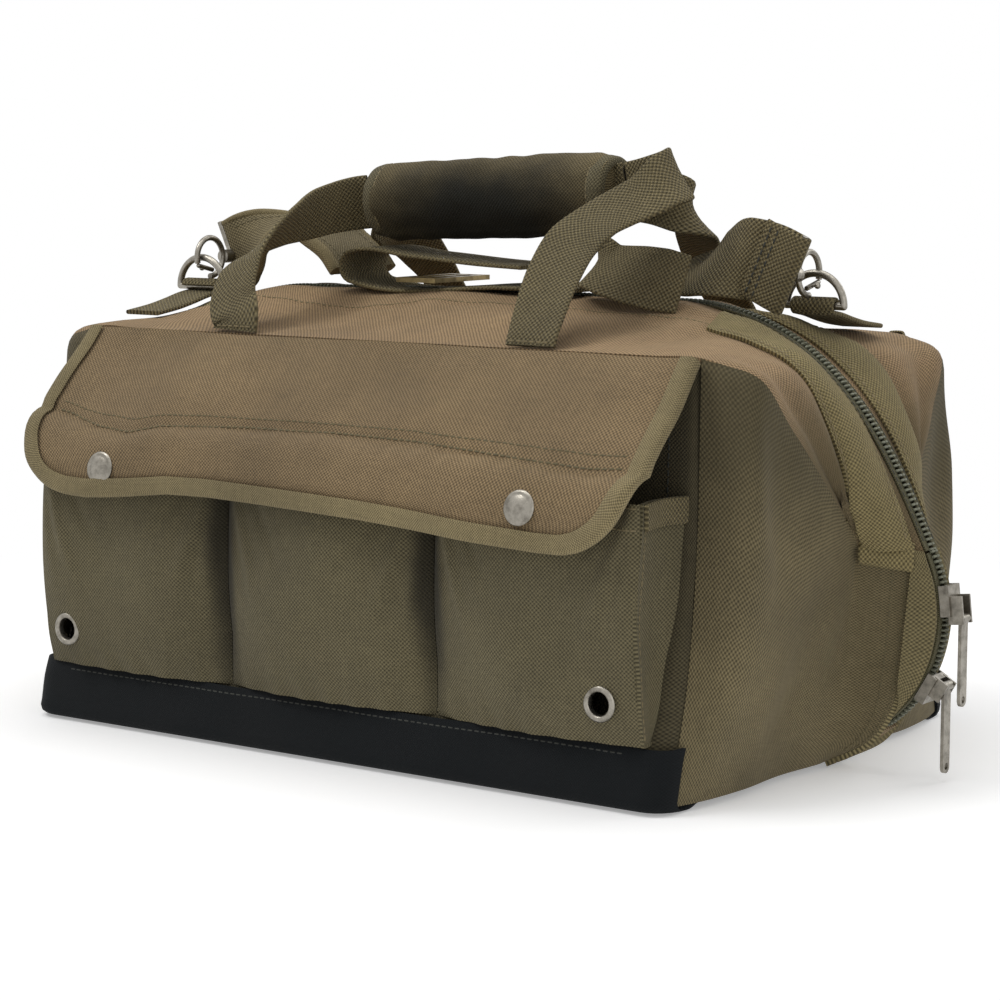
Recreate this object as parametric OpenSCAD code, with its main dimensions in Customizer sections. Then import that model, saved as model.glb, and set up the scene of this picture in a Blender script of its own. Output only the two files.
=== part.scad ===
// Wide-mouth canvas tool bag with flap pockets, carrying handles and a clipped shoulder strap.
// The origin is the bottom centre, +X points to an end, -Y is the front and +Z is up.

/* [Body] */
// Length of the base over the end seams
base_len = 374; // [360:1:390]
// Depth of the base over the front and back walls
base_dep = 268; // [260:1:280]
// Length of the top folds over the corner seams
fold_len = 356; // [346:1:366]
// Depth over the two top folds
fold_dep = 184; // [178:1:190]
// Height of the top folds
fold_h = 191; // [187:1:196]
// Height of the zipped ridge
ridge_h = 211; // [208:1:214]
// Reach of the shoulder ears past the fold corners
ear_reach = 26; // [22:1:30]
// Thickness of the doubled canvas walls
canvas_t = 2.4; // [2:0.1:2.8]
// Thickness of the canvas over the mouth
top_t = 1.8; // [1.4:0.1:2.2]
// Thickness of the black base fabric
pan_t = 2.4; // [2:0.1:3]
// Height of the black base band
band_h = 28; // [24:1:32]
// Thickness of the stiff board in the base
board_t = 4; // [3:0.5:5]

/* [Ends and mouth] */
// Distance from the middle to the edge of an end fin
fin_reach = 249.5; // [246:0.5:253]
// Height of the pivot of the mouth frames
pivot_h = 100; // [98:0.5:101]
// Diameter of the steel mouth frames
frame_d = 5; // [4:0.5:5.5]
// Diameter of the frame pivot pins
pivot_d = 4; // [3:0.5:4.5]
// Width of the webbing channel on the mouth edge
channel_w = 26; // [22:1:28]
// Width of one zip tape with its teeth
tape_w = 4.6; // [4:0.1:5.2]
// Thickness of the zip tape with its teeth
tape_t = 2.4; // [2:0.1:3]

/* [Pockets] */
// Length of a pocket bank over its side gussets
pocket_len = 350; // [340:1:354]
// Height of the pocket mouths
pocket_h = 134; // [130:1:137]
// Distance from the middle to a pocket divider
divider_x = 61; // [54:1:68]
// How far the pocket faces stand out from the base band
pocket_out = 20; // [16:1:22]
// How deep the valleys between the pockets are
valley_deep = 6; // [3:0.5:8]
// Thickness of the pocket canvas
pocket_t = 1.6; // [1.2:0.1:2]
// Height of the webbing hem on a pocket mouth
hem_h = 12; // [10:1:14]
// Bottom of the row of tool loops under a flap
loops_z = 164; // [160:1:168]
// Height of the tool-loop webbing
loops_h = 14; // [10:1:16]
// How far a tool loop stands out from the wall
loop_out = 8; // [6:0.5:9]
// Number of tool loops in a row
loop_count = 5; // [4:1:6]

/* [Flaps] */
// How far a flap hangs down over the pocket mouths
flap_over = 22; // [18:1:26]
// Radius of the lower corners of a flap
flap_r = 38; // [30:1:46]
// Thickness of the flap canvas
flap_t = 2; // [1.6:0.1:2.4]
// Width of the binding round a flap
bind_w = 9.5; // [8:0.5:12]
// Thickness of each layer of the binding
bind_t = 1; // [0.8:0.1:1.2]
// Diameter of a snap cap
snap_d = 15.5; // [13:0.5:17]
// Thickness of a snap cap
snap_t = 1.8; // [1.4:0.1:2.2]
// Distance from the middle to a snap
snap_x = 121.6; // [110:0.5:128]
// Outer diameter of a drain grommet
grommet_d = 16; // [14:0.5:18]
// Hole diameter of a drain grommet
grommet_hole = 11; // [8:0.5:12]
// Distance from the middle to a grommet
grommet_x = 157; // [150:1:160]
// Height of the grommets
grommet_z = 47; // [42:1:52]

/* [Handles] */
// Width of the handle webbing
webbing_w = 27; // [24:0.5:29]
// Thickness of the handle webbing
webbing_t = 2.4; // [2:0.1:2.8]
// Distance from the middle to a handle leg
leg_x = 87.3; // [84:0.5:90]
// Length of the padded grip
grip_len = 143; // [136:1:150]
// Diameter of the padded grip
grip_d = 37; // [35:0.5:40]
// Height of the middle of the grip
grip_z = 258.5; // [256:0.5:262]
// Angle at which the grip rises to the right
grip_tilt = 2.6; // [0:0.2:3]
// How far a handle loop stands out past its foot
loop_reach = 27; // [24:0.5:29]

/* [Shoulder strap] */
// Width of the shoulder strap webbing
strap_w = 38; // [34:1:40]
// Thickness of the shoulder strap webbing
strap_t = 2; // [1.6:0.1:2.4]
// Width of the shoulder pad
pad_w = 46; // [40:1:50]
// Thickness of the shoulder pad
pad_t = 6; // [4:0.5:7]
// Wire diameter of the tab rings
ring_wire = 3.6; // [3:0.1:4]
// Radius of the wire centre line of a tab ring
ring_r = 15; // [14:0.5:16]
// Wire diameter of the snap hooks
hook_wire = 3; // [2.6:0.1:3.4]
// Radius of the wire centre line of a snap hook
hook_r = 10; // [9.5:0.1:10.5]

/* [Zip hardware] */
// Length of a zip slider
slider_len = 14; // [12:0.5:15]
// Width of a zip slider
slider_w = 11.5; // [11:0.1:12.5]
// Angle of the upper slider on the fin edge
slider_high = 6.4; // [4:0.2:8]
// Angle of the lower slider on the fin edge
slider_low = -30; // [-32:0.5:-28]
// Length of a zip pull
pull_len = 40; // [36:0.5:41]
// Width of a zip pull
pull_w = 6.4; // [5.6:0.1:7]
// Thickness of a zip pull
pull_t = 1.6; // [1.2:0.1:2]
// Diameter of the pin of a zip pull
pull_pin_d = 2; // [1.6:0.1:2.2]

/* [Hidden] */

// Gap between pieces that seat on each other
seat = 0.3;
// Running clearance of a pin in its hole
run_gap = 0.05;
// Extra length of every cut
over = 5;
half_len = base_len / 2;
half_dep = base_dep / 2;
fold_x = fold_len / 2;
fold_y = fold_dep / 2;
fin_x = half_len;
fin_r = fin_reach - half_len;

canvas_colour = "#75624a";
slope_colour = "#8a6f52";
pocket_colour = "#675a3e";
binding_colour = "#7f7147";
webbing_colour = "#5f563b";
black_colour = "#14181d";
steel_colour = "#8d8f8e";
nickel_colour = "#a9a49a";
brass_colour = "#9a8456";
zip_colour = "#4a4a3c";

function mix(a, b, t) = a + (b - a) * t;
function unit(v) = v / norm(v);
function flat(g) = [for (row = g) for (p = row) p];

// Height shares and inward shares of the front and back walls
wall_shares = [[0, 0], [0.1, 0.1], [0.21, 0.32], [0.385, 0.59], [0.56, 0.77], [0.76, 0.88], [1, 1]];
function wall_y(z) = mix(half_dep, fold_y, lookup(z / fold_h, wall_shares));
function seam_x(z) = mix(half_len, fold_x, z / fold_h);
function heights(z0, z1) =
    concat([z0], [for (s = wall_shares) let(z = s[0] * fold_h) if (z > z0 + seat && z < z1 - seat) z], [z1]);

// A closed shell from a grid of points, thick along the grid's own normals
function grid_normal(g, i, j) =
    let(rows = len(g), cols = len(g[0]))
    unit(cross(g[i][min(j + 1, cols - 1)] - g[i][max(j - 1, 0)],
        g[min(i + 1, rows - 1)][j] - g[max(i - 1, 0)][j]));
function grid_offset(g, t) =
    [for (i = [0 : len(g) - 1]) [for (j = [0 : len(g[0]) - 1]) g[i][j] + t * grid_normal(g, i, j)]];

module shell(g, thick) {
    rows = len(g);
    cols = len(g[0]);
    n = rows * cols;
    last = (rows - 1) * cols;
    inner = grid_offset(g, thick);
    skins = [for (i = [0 : rows - 2]) for (j = [0 : cols - 2])
        let(a = i * cols + j, b = a + 1, c = a + cols + 1, d = a + cols)
        each [[a, b, c], [a, c, d], [n + a, n + c, n + b], [n + a, n + d, n + c]]];
    long_rims = [for (j = [0 : cols - 2])
        let(a = j, b = j + 1, p = last + j, q = p + 1)
        each [[b, a, n + a], [b, n + a, n + b], [p, q, n + q], [p, n + q, n + p]]];
    short_rims = [for (i = [0 : rows - 2])
        let(a = i * cols, d = a + cols, b = a + cols - 1, c = b + cols)
        each [[a, d, n + d], [a, n + d, n + a], [c, b, n + b], [c, n + b, n + c]]];
    faces = concat(skins, long_rims, short_rims);
    polyhedron(concat(flat(g), flat(inner)), thick > 0 ? faces : [for (f = faces) [f[2], f[1], f[0]]]);
}

// A closed solid through rings of points that run round the path
module skin(rings) {
    sides = len(rings[0]);
    ends = (len(rings) - 1) * sides;
    walls = [for (i = [0 : len(rings) - 2]) for (k = [0 : sides - 1])
        let(a = i * sides + k, b = i * sides + (k + 1) % sides, c = b + sides, d = a + sides)
        each k < sides / 2 ? [[a, d, c], [a, c, b]] : [[a, d, b], [b, d, c]]];
    caps = [[for (k = [0 : sides - 1]) k], [for (k = [0 : sides - 1]) ends + sides - 1 - k]];
    polyhedron(flat(rings), concat(walls, caps));
}

function path_dir(p, i) = unit(p[min(i + 1, len(p) - 1)] - p[max(i - 1, 0)]);

// Webbing along a path, with its width direction, width and thickness for the whole path or for each point
module ribbon(p, across, wide, thick) {
    skin([for (i = [0 : len(p) - 1])
        let(d = path_dir(p, i), w0 = is_list(across[0]) ? across[i] : across,
            w = unit(w0 - d * (w0 * d)) * (is_list(wide) ? wide[i] : wide) / 2,
            h = cross(d, unit(w)) * (is_list(thick) ? thick[i] : thick) / 2)
        [p[i] + w + h, p[i] - w + h, p[i] - w - h, p[i] + w - h]]);
}

// Round rod along a path, with a fixed sideways direction
module rod(p, side, d, sides = 8) {
    skin([for (i = [0 : len(p) - 1])
        let(dir = path_dir(p, i), w = unit(side - dir * (side * dir)), h = cross(dir, w))
        [for (k = [0 : sides - 1]) p[i] + (w * cos(360 * k / sides) + h * sin(360 * k / sides)) * d / 2]]);
}

// Outline in Y and Z, extruded along X
module along_x(long) {
    rotate([90, 0, 90])
        linear_extrude(long, center = true)
            children();
}

// Outline in X and Z, extruded along Y
module along_y(long) {
    rotate([90, 0, 0])
        linear_extrude(long, center = true)
            children();
}

module cyl_x(d, long) {
    rotate([0, 90, 0])
        cylinder(d = d, h = long, center = true, $fn = 48);
}

module cyl_y(d, long) {
    rotate([90, 0, 0])
        cylinder(d = d, h = long, center = true, $fn = 48);
}

module both_ends() {
    children();
    mirror([1, 0, 0])
        children();
}

module both_sides() {
    children();
    mirror([0, 1, 0])
        children();
}

module at_back() {
    mirror([0, 1, 0])
        children();
}

module at_left() {
    mirror([1, 0, 0])
        children();
}

// Base
module base_pan() {
    rises = heights(0, band_h);
    top = len(rises) - 1;
    outer = [for (z = rises) [-wall_y(z) - seat - pan_t, z]];
    inner = [for (i = [top : -1 : 0]) [-wall_y(max(rises[i], pan_t)) - seat, max(rises[i], pan_t)]];
    right = [for (i = [len(inner) - 1 : -1 : 0]) [-inner[i][0], inner[i][1]]];
    right_out = [for (i = [top : -1 : 0]) [-outer[i][0], outer[i][1]]];
    color(black_colour)
        along_x(base_len)
            polygon(concat(outer, inner, right, right_out));
}

board_gap = 3;
module base_board() {
    z0 = pan_t + seat;
    across = 2 * (wall_y(z0 + board_t) - canvas_t - board_gap);
    color("#3a3a36")
        translate([0, 0, z0 + board_t / 2])
            cube([base_len - 2 * (canvas_t + board_gap), across, board_t], center = true);
}

// Front and back walls
wall_foot = pan_t + seat;
corner_gap = canvas_t + 3 * seat;

module side_wall() {
    rises = heights(wall_foot, fold_h);
    top = len(rises) - 1;
    outer = [for (z = rises) [-wall_y(z), z]];
    inner = [for (i = [top : -1 : 0]) [-wall_y(rises[i]) + canvas_t, rises[i]]];
    foot = seam_x(wall_foot) - corner_gap;
    head = seam_x(fold_h) - corner_gap;
    color(canvas_colour)
        intersection() {
            along_x(base_len)
                polygon(concat(outer, inner));
            along_y(base_dep + over)
                polygon([[-foot, wall_foot], [foot, wall_foot], [head, fold_h], [-head, fold_h]]);
        }
}

module front_wall() {
    side_wall();
}

module back_wall() {
    at_back()
        side_wall();
}

// Ridge and mouth edge: level over the middle, then one curve down to the top of the fin
mouth_over = 4;
fin_centre_share = 0.4;
fin_centre_h = pivot_h - fin_centre_share * fin_r;
ridge_sag = 1;
level_share = 0.56;
near_share = 0.625;
far_share = 0.845;
far_rise_share = 0.43;
mouth_top = pivot_h + mouth_over;
level_x = fold_x * level_share;
mouth_end = [fin_x + sqrt(fin_r * fin_r - (mouth_top - fin_centre_h) * (mouth_top - fin_centre_h)),
    mouth_top];
mouth_near = [mix(level_x, mouth_end[0], near_share), ridge_h + mouth_over];
mouth_far = [mix(level_x, mouth_end[0], far_share), mix(mouth_top, ridge_h, far_rise_share)];
function bezier(a, b, c, d, t) =
    a * pow(1 - t, 3) + 3 * b * t * pow(1 - t, 2) + 3 * c * t * t * (1 - t) + d * pow(t, 3);
function mouth(t) = bezier([level_x, ridge_h - ridge_sag], mouth_near, mouth_far, mouth_end, t);
mouth_steps = 9;
half_mouth = concat([[0, ridge_h], [level_x / 2, ridge_h - ridge_sag / 3]],
    [for (i = [0 : mouth_steps]) mouth(i / mouth_steps)]);
full_mouth = concat([for (i = [len(half_mouth) - 1 : -1 : 1]) [-half_mouth[i][0], half_mouth[i][1]]],
    half_mouth);
function mouth_shift(path, inward) =
    [for (i = [0 : len(path) - 1])
        let(a = path[max(i - 1, 0)], b = path[min(i + 1, len(path) - 1)], d = unit(b - a))
        path[i] + inward * [d[1], -d[0]]];
function at_y(path, y) = [for (p = path) [p[0], y, p[1]]];

// Crease from the fold corner round the ear and down to the pivot, as a point at the front right
ear_in = 4;
ear_drop = 6;
valley_y = 18;
valley_share = 0.44;
valley_over = 6;
ear = [fold_x + ear_reach, -fold_y + ear_in, fold_h - ear_drop];
valley_x = mix(half_len, fin_reach, valley_share);
crease_end = [valley_x, -valley_y, pivot_h + valley_over];
crease_bow = 4;
crease_shares = [0, 0.28, 0.55, 0.8, 1];
crease = [for (s = crease_shares) mix(ear, crease_end, s) + crease_bow * 4 * s * (1 - s) * [1, 0, -1]];

// Canvas over the front half of the mouth, from the fold and the crease up to the zip
widest_share = 0.9;
fold_shares = [0, 0.33, 0.62, 0.85];
crease_lift = 2.2;
lip_y = tape_w + 3 * seat;
function top_foot() = concat(
    [for (s = fold_shares) [fold_x * s, -fold_y + 2 * seat, fold_h + seat + top_t]],
    [[fold_x - seat, -fold_y + 2 * seat, fold_h + seat + top_t]],
    [for (p = crease) p + [0, crease_lift / 2, crease_lift]]);
mouth_shares = [0.1, 0.3, 0.46, 0.6, 0.74, 0.88, 1];
function top_lip() = concat(
    [[0, ridge_h], [fold_x * fold_shares[1], ridge_h - ridge_sag / 3], [level_x, ridge_h - ridge_sag]],
    [for (s = mouth_shares) mouth(s)]);
function half_top() =
    let(feet = top_foot(), lips = top_lip())
    [for (k = [0 : len(feet) - 1])
        let(foot = feet[k], lip = [lips[k][0], -lip_y, lips[k][1]],
            edge = mix(lip, foot, min(channel_w / norm(foot - lip), widest_share)))
        [foot, mix(foot, edge, 0.5), edge, mix(edge, lip, 0.5), lip]];
function full_top() =
    let(h = half_top())
    concat([for (k = [len(h) - 1 : -1 : 1]) [for (p = h[k]) [-p[0], p[1], p[2]]]], h);

module top_panel() {
    color(slope_colour)
        shell(full_top(), top_t);
}

module front_top_panel() {
    top_panel();
}

module back_top_panel() {
    at_back()
        top_panel();
}

// Steel frame under each mouth edge, with a pivot eye at each end
frame_y = 13;
frame_hang = 6;
frame_drop = frame_hang + top_t + seat + frame_d / 2;
eye_d = 11;
eye_t = 2.4;
eye_share = 0.56;
eye_room = 4.2;
front_eye_x = mix(half_len, fin_reach, eye_share);
back_eye_x = front_eye_x + eye_t + eye_room;
leg_shares = [0.5, 0.2];

module mouth_frame(eye_x, lean) {
    drop = mouth_shift(half_mouth, frame_drop);
    keep = len(drop) - 3;
    upper = [for (i = [0 : keep]) [drop[i][0], -frame_y, drop[i][1]]];
    foot = [eye_x + lean * (frame_d - eye_t) / 2, -eye_d / 2 + frame_d / 2, pivot_h + eye_d / 2];
    half = concat(upper, [for (s = leg_shares) mix(foot, upper[keep], s)],
        [foot, foot - [0, 0, frame_d / 5]]);
    whole = concat([for (i = [len(half) - 1 : -1 : 1]) [-half[i][0], half[i][1], half[i][2]]], half);
    color(steel_colour)
        difference() {
            union() {
                rod(whole, [0, 1, 0], frame_d);
                both_ends()
                    translate([eye_x, 0, pivot_h])
                        cyl_x(eye_d, eye_t);
            }
            both_ends()
                translate([eye_x, 0, pivot_h])
                    cyl_x(pivot_d + 2 * run_gap, eye_t + frame_d + over);
        }
}

module front_frame() {
    mouth_frame(front_eye_x, -1);
}

module back_frame() {
    at_back()
        mouth_frame(back_eye_x, 1);
}

// Rivet pins that join the two frames, on a small bracket inside each fin
bracket_t = 1.6;
bracket_x = back_eye_x + eye_t / 2 + seat + bracket_t / 2;
bracket_h = 10;
head_share = 1.7;

module frame_hinges() {
    pin_from = front_eye_x - eye_t / 2 - seat - bracket_t;
    way = (bracket_x + bracket_t / 2 + seat - valley_x) / (fin_seam_x - valley_x);
    half_w = mix(valley_y, fin_seam_y, way) - canvas_t - 2 * seat;
    color(steel_colour)
        both_ends() {
            translate([bracket_x, 0, pivot_h - seat - bracket_h / 2])
                cube([bracket_t, 2 * half_w, bracket_h], center = true);
            translate([bracket_x, 0, pivot_h])
                cyl_x(pivot_d * head_share, bracket_t);
            translate([(pin_from + bracket_x) / 2, 0, pivot_h])
                cyl_x(pivot_d, bracket_x - pin_from);
            translate([pin_from + bracket_t / 2, 0, pivot_h])
                cyl_x(pivot_d * head_share, bracket_t);
        }
}

// End panels: two halves that run from the corner seam to the zip on the fin
fin_seam_y = 9;
fin_seam_share = 0.78;
fin_seam_x = mix(half_len, fin_reach, fin_seam_share);
slit = 0.6;
end_gap = 4;
end_top = pivot_h - end_gap;
fin_low_turn = -57;
fin_high_turn = asin((end_top - end_gap - fin_centre_h) / fin_r);
row_shares = [0, 0.12, 0.25, 0.45, 0.65, 0.83, 1];
fin_turn_shares = [0, 0.34, 0.62, 0.82, 1];
foot_share = 0.14;
foot_x = mix(half_len, fin_reach, foot_share);
crease_foot_shares = [0.6, 0.3];
corner_out = 3;
corner_in = 28;
valley_foot_shares = [0, 0.45, 0.72, 0.86, 0.94, 0.98, 1];
seam_out_shares = [0, 0.42, 0.7, 0.82, 0.9, 0.96, 1];
panel_bulge = 5;
crease_drop = 2.4;

function fin_point(turn) = [fin_x + fin_r * cos(turn), fin_centre_h + fin_r * sin(turn)];
function seam_column(k) = let(z = mix(wall_foot, fold_h - crease_drop / 2, row_shares[k]))
    [seam_x(z), -wall_y(z), z];
function swell(k) = panel_bulge * sin(180 * row_shares[k]);
function ear_column(k) =
    let(z = mix(wall_foot, ear[2] - crease_drop, row_shares[k]))
    [mix(half_len + corner_out, ear[0], row_shares[k]) + swell(k),
        mix(-half_dep + corner_in, ear[1], row_shares[k]), z];
function crease_column(k, c, y0) =
    let(top = crease[c] - [0, 0, crease_drop])
    [mix(half_len + 2 * corner_out, top[0], row_shares[k]) + swell(k),
        mix(-half_dep * y0, top[1], row_shares[k]),
        mix(wall_foot, top[2], row_shares[k])];
function valley_column(k) =
    let(top = crease_end - [0, 0, crease_drop + end_gap])
    [mix(foot_x, top[0], valley_foot_shares[k]), -valley_y, mix(wall_foot, top[2], row_shares[k])];
function fin_seam_column(k) =
    [mix(foot_x, fin_seam_x, seam_out_shares[k]), -fin_seam_y, mix(wall_foot, end_top, row_shares[k])];
function fin_edge_column(k) =
    k == 0 ? [foot_x, -slit, wall_foot]
    : k == 1 ? let(p = fin_point(fin_low_turn)) [mix(foot_x, p[0], 0.5), -mix(slit, lip_y, 0.5),
        mix(wall_foot, p[1], 0.5)]
    : let(p = fin_point(mix(fin_low_turn, fin_high_turn, fin_turn_shares[k - 2]))) [p[0], -lip_y, p[1]];
function end_grid() =
    [for (k = [0 : len(row_shares) - 1])
        [seam_column(k), ear_column(k), crease_column(k, 1, crease_foot_shares[0]),
            crease_column(k, 3, crease_foot_shares[1]), valley_column(k),
            fin_seam_column(k), fin_edge_column(k)]];

module end_panel() {
    color(canvas_colour)
        both_sides()
            shell(end_grid(), -canvas_t);
}

module right_end_panel() {
    end_panel();
}

module left_end_panel() {
    at_left()
        end_panel();
}

// Zip on the fin edges below the frame pivots
fin_zip_gap = seat;
fin_zip_r = fin_r + fin_zip_gap;
zip_top_turn = asin((pivot_h - end_gap / 2 - fin_centre_h) / (fin_zip_r + tape_t));

module fin_zip() {
    color(zip_colour)
        translate([fin_x, 0, fin_centre_h])
            rotate([90, 0, 0])
                rotate([0, 0, fin_low_turn])
                    rotate_extrude(angle = zip_top_turn - fin_low_turn, $fn = 96)
                        translate([fin_zip_r, -tape_w])
                            square([tape_t, 2 * tape_w]);
}

module right_fin_zip() {
    fin_zip();
}

module left_fin_zip() {
    at_left()
        fin_zip();
}

// Canvas tabs that close the lower ends of the zip
end_tab_w = 16;
end_tab_h = 7.5;
end_tab_t = 2;

module zip_end_tabs() {
    p = fin_point(fin_low_turn);
    q = fin_edge_column(1);
    color(canvas_colour)
        both_ends()
            translate([p[0], 0, p[1]])
                rotate([0, 90 - atan2(p[1] - q[2], p[0] - q[0]), 0])
                    translate([4 * seat + end_tab_t / 2, 0, -end_tab_h / 2 - 2 * seat])
                        cube([end_tab_t, end_tab_w, end_tab_h], center = true);
}

// Folded ends of the webbing channel, sewn to the end panels beside the pivots
channel_end_h = 14;
channel_t = 1.8;
channel_end_share = 0.42;
channel_end_x = mix(valley_x, fin_seam_x, channel_end_share);

module channel_ends() {
    y = mix(valley_y, fin_seam_y, channel_end_share);
    turn = atan2(valley_y - fin_seam_y, fin_seam_x - valley_x);
    color(webbing_colour)
        both_ends()
            both_sides()
                translate([channel_end_x, -y, pivot_h - channel_end_h])
                    rotate([0, 0, turn])
                        translate([0, -channel_t / 2 - 3 * seat, 0])
                            cube([channel_w / 2, channel_t, channel_end_h], center = true);
}

// Moving halves of the zip along the ridge
module zip_half() {
    path = at_y(mouth_shift(full_mouth, -tape_t / 2), -seat - tape_w / 2);
    color(zip_colour)
        ribbon(path, [0, 1, 0], tape_w, tape_t);
}

module front_zip_half() {
    zip_half();
}

module back_zip_half() {
    at_back()
        zip_half();
}

// Webbing channel over the frame on the ends of each mouth edge
channel_from = 4;

module channel() {
    top = half_top();
    strip = [for (k = [channel_from : len(top) - 1]) [for (j = [2 : 4]) top[k][j]]];
    color(webbing_colour)
        both_ends()
            shell(grid_offset(strip, -3 * seat), -channel_t);
}

module front_channel() {
    channel();
}

module back_channel() {
    at_back()
        channel();
}

// Pocket faces: three bulged cells on a bank, open at the top
pocket_foot = band_h + seat;
pocket_x = pocket_len / 2;
pocket_rows = 5;
cell_cols = 8;
pocket_shares = [[0, 0.45], [0.2, 0.85], [0.5, 1], [0.8, 0.92], [1, 0.7]];
function pocket_mid_y(z) =
    wall_y(pocket_foot) + pocket_out * lookup((z - pocket_foot) / (pocket_h - pocket_foot), pocket_shares);
valley_foot_share = 0.4;
bulge_power = 0.7;
function valley(z) = valley_deep * mix(valley_foot_share, 1, (z - pocket_foot) / (pocket_h - pocket_foot));
function pocket_y(z, u) = pocket_mid_y(z) - valley(z) * (1 - pow(max(sin(180 * u), 0), bulge_power));
function cell_row(x0, x1, z) =
    [for (c = [0 : cell_cols]) [mix(x0, x1, c / cell_cols), -pocket_y(z, c / cell_cols), z]];

module pocket_cell(x0, x1) {
    color(pocket_colour)
        shell([for (r = [0 : pocket_rows]) cell_row(x0 + seat / 2, x1 - seat / 2,
            mix(pocket_foot, pocket_h, r / pocket_rows))], -pocket_t);
}

module pocket_left() {
    pocket_cell(-pocket_x, -divider_x);
}

module pocket_mid() {
    pocket_cell(-divider_x, divider_x);
}

module pocket_right() {
    pocket_cell(divider_x, pocket_x);
}

module front_pocket_left() {
    pocket_left();
}

module front_pocket_mid() {
    pocket_mid();
}

module front_pocket_right() {
    pocket_right();
}

module back_pocket_left() {
    at_back()
        pocket_left();
}

module back_pocket_mid() {
    at_back()
        pocket_mid();
}

module back_pocket_right() {
    at_back()
        pocket_right();
}

// Side gussets, dividers and floor of a pocket bank
gusset_gap = pocket_t + 2 * seat;

module pocket_gussets() {
    rises = [for (r = [0 : pocket_rows]) mix(pocket_foot, pocket_h, r / pocket_rows)];
    top = len(rises) - 1;
    face = [for (z = rises) [-pocket_y(z, 0) + gusset_gap, z]];
    wall_rises = heights(pocket_foot, pocket_h);
    back = [for (i = [len(wall_rises) - 1 : -1 : 0]) [-wall_y(wall_rises[i]) - seat, wall_rises[i]]];
    low = [face[0], face[0] + [0, pocket_t], back[len(back) - 1] + [0, pocket_t], back[len(back) - 1]];
    color(pocket_colour) {
        for (x = [-pocket_x + pocket_t / 2, -divider_x, divider_x, pocket_x - pocket_t / 2])
            translate([x, 0, 0])
                along_x(pocket_t)
                    polygon(concat(face, back));
        along_x(pocket_len - pocket_t)
            polygon(low);
    }
}

module front_pocket_gussets() {
    pocket_gussets();
}

module back_pocket_gussets() {
    at_back()
        pocket_gussets();
}

// Webbing hems round the side gussets at the pocket mouths
module pocket_hems() {
    z0 = pocket_h - hem_h;
    back_y = wall_y(z0) + seat;
    front_y = pocket_y(pocket_h, 0) - gusset_gap;
    color(webbing_colour)
        both_ends()
            translate([pocket_x + seat, -front_y, z0])
                cube([channel_t, front_y - back_y, hem_h]);
}

module front_pocket_hems() {
    pocket_hems();
}

module back_pocket_hems() {
    at_back()
        pocket_hems();
}

// Tool loops: webbing sewn flat between arched loops
loops_in = 8;
loops_x = pocket_x - loops_in;
loop_steps = 6;
loop_foot = 4;
loop_t = 1.6;

module tool_loops() {
    pitch = 2 * loops_x / loop_count;
    span = pitch - 2 * loop_foot;
    y0 = wall_y(loops_z) + seat;
    arcs = [for (n = [0 : loop_count - 1]) for (i = [0 : loop_steps])
        [-loops_x + pitch * (n + 0.5) + mix(-span / 2, span / 2, i / loop_steps),
            -y0 - (loop_out - loop_t) * sin(180 * i / loop_steps)]];
    inner = concat([[-loops_x, -y0]], arcs, [[loops_x, -y0]]);
    color(webbing_colour)
        translate([0, 0, loops_z])
            linear_extrude(loops_h)
                polygon(concat(inner, [for (i = [len(inner) - 1 : -1 : 0]) inner[i] - [0, loop_t]]));
}

module front_tool_loops() {
    tool_loops();
}

module back_tool_loops() {
    at_back()
        tool_loops();
}

// Grommets on the lower outer corners of the pockets
grommet_t = 1;

module grommets() {
    u = (grommet_x - divider_x) / (pocket_x - divider_x);
    bulge = max(pocket_y(grommet_z - grommet_d / 2, u), pocket_y(grommet_z + grommet_d / 2, u),
        pocket_y(grommet_z, u - grommet_d / 2 / (pocket_x - divider_x)));
    color(nickel_colour)
        both_sides()
            both_ends()
                translate([grommet_x, -bulge - seat - grommet_t / 2, grommet_z])
                    difference() {
                        cyl_y(grommet_d, grommet_t);
                        cyl_y(grommet_hole, grommet_t + over);
                    }
}

// Flap: hangs from the fold, over the pocket mouths
flap_low = pocket_h - flap_over;
snap_z = flap_low + bind_w + snap_d / 2 + seat;
flap_top_gap = 0.6;
flap_x = fold_x;
flap_rest = 1.2;
flap_mid_out = 1.5;
flap_lip = 1;
bend_z = pocket_h + 3 * flap_lip;
flap_mid_shares = [0.55, 0.53];
flap_foot_share = 0.8;
flap_path = [
    [-fold_y - flap_top_gap, fold_h],
    [-mix(fold_y, pocket_mid_y(pocket_h), flap_mid_shares[0]) - flap_mid_out,
        mix(fold_h, bend_z, flap_mid_shares[1])],
    [-pocket_mid_y(pocket_h) - flap_rest - flap_lip, bend_z],
    [-max(pocket_mid_y(flap_low), pocket_mid_y(mix(pocket_foot, pocket_h, flap_foot_share)))
            - flap_rest - snap_t / 2,
        flap_low - over]];
function flap_layer(d) =
    [for (i = [0 : len(flap_path) - 1])
        let(t = path_dir(flap_path, i))
        flap_path[i] + d * [t[1], -t[0]]];
bind_out = 2 * bind_t + 2 * seat + flap_t;

module flap_slab(d0, d1) {
    near = flap_layer(d0);
    far = flap_layer(d1);
    along_x(2 * flap_x + over)
        polygon(concat(near, [for (i = [len(far) - 1 : -1 : 0]) far[i]]));
}

module flap_outline(inset) {
    r = flap_r - inset;
    x = flap_x - inset;
    z = flap_low + inset;
    top = fold_h + 2 * over;
    along_y(2 * base_dep)
        union() {
            translate([-x, z + r])
                square([2 * x, top - z - r]);
            translate([-x + r, z])
                square([2 * (x - r), r + over]);
            translate([-x + r, z + r])
                circle(r, $fn = 64);
            translate([x - r, z + r])
                circle(r, $fn = 64);
        }
}

module flap() {
    color(canvas_colour)
        intersection() {
            flap_slab(bind_t + seat, bind_t + seat + flap_t);
            flap_outline(bind_w / 3);
        }
}

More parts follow.
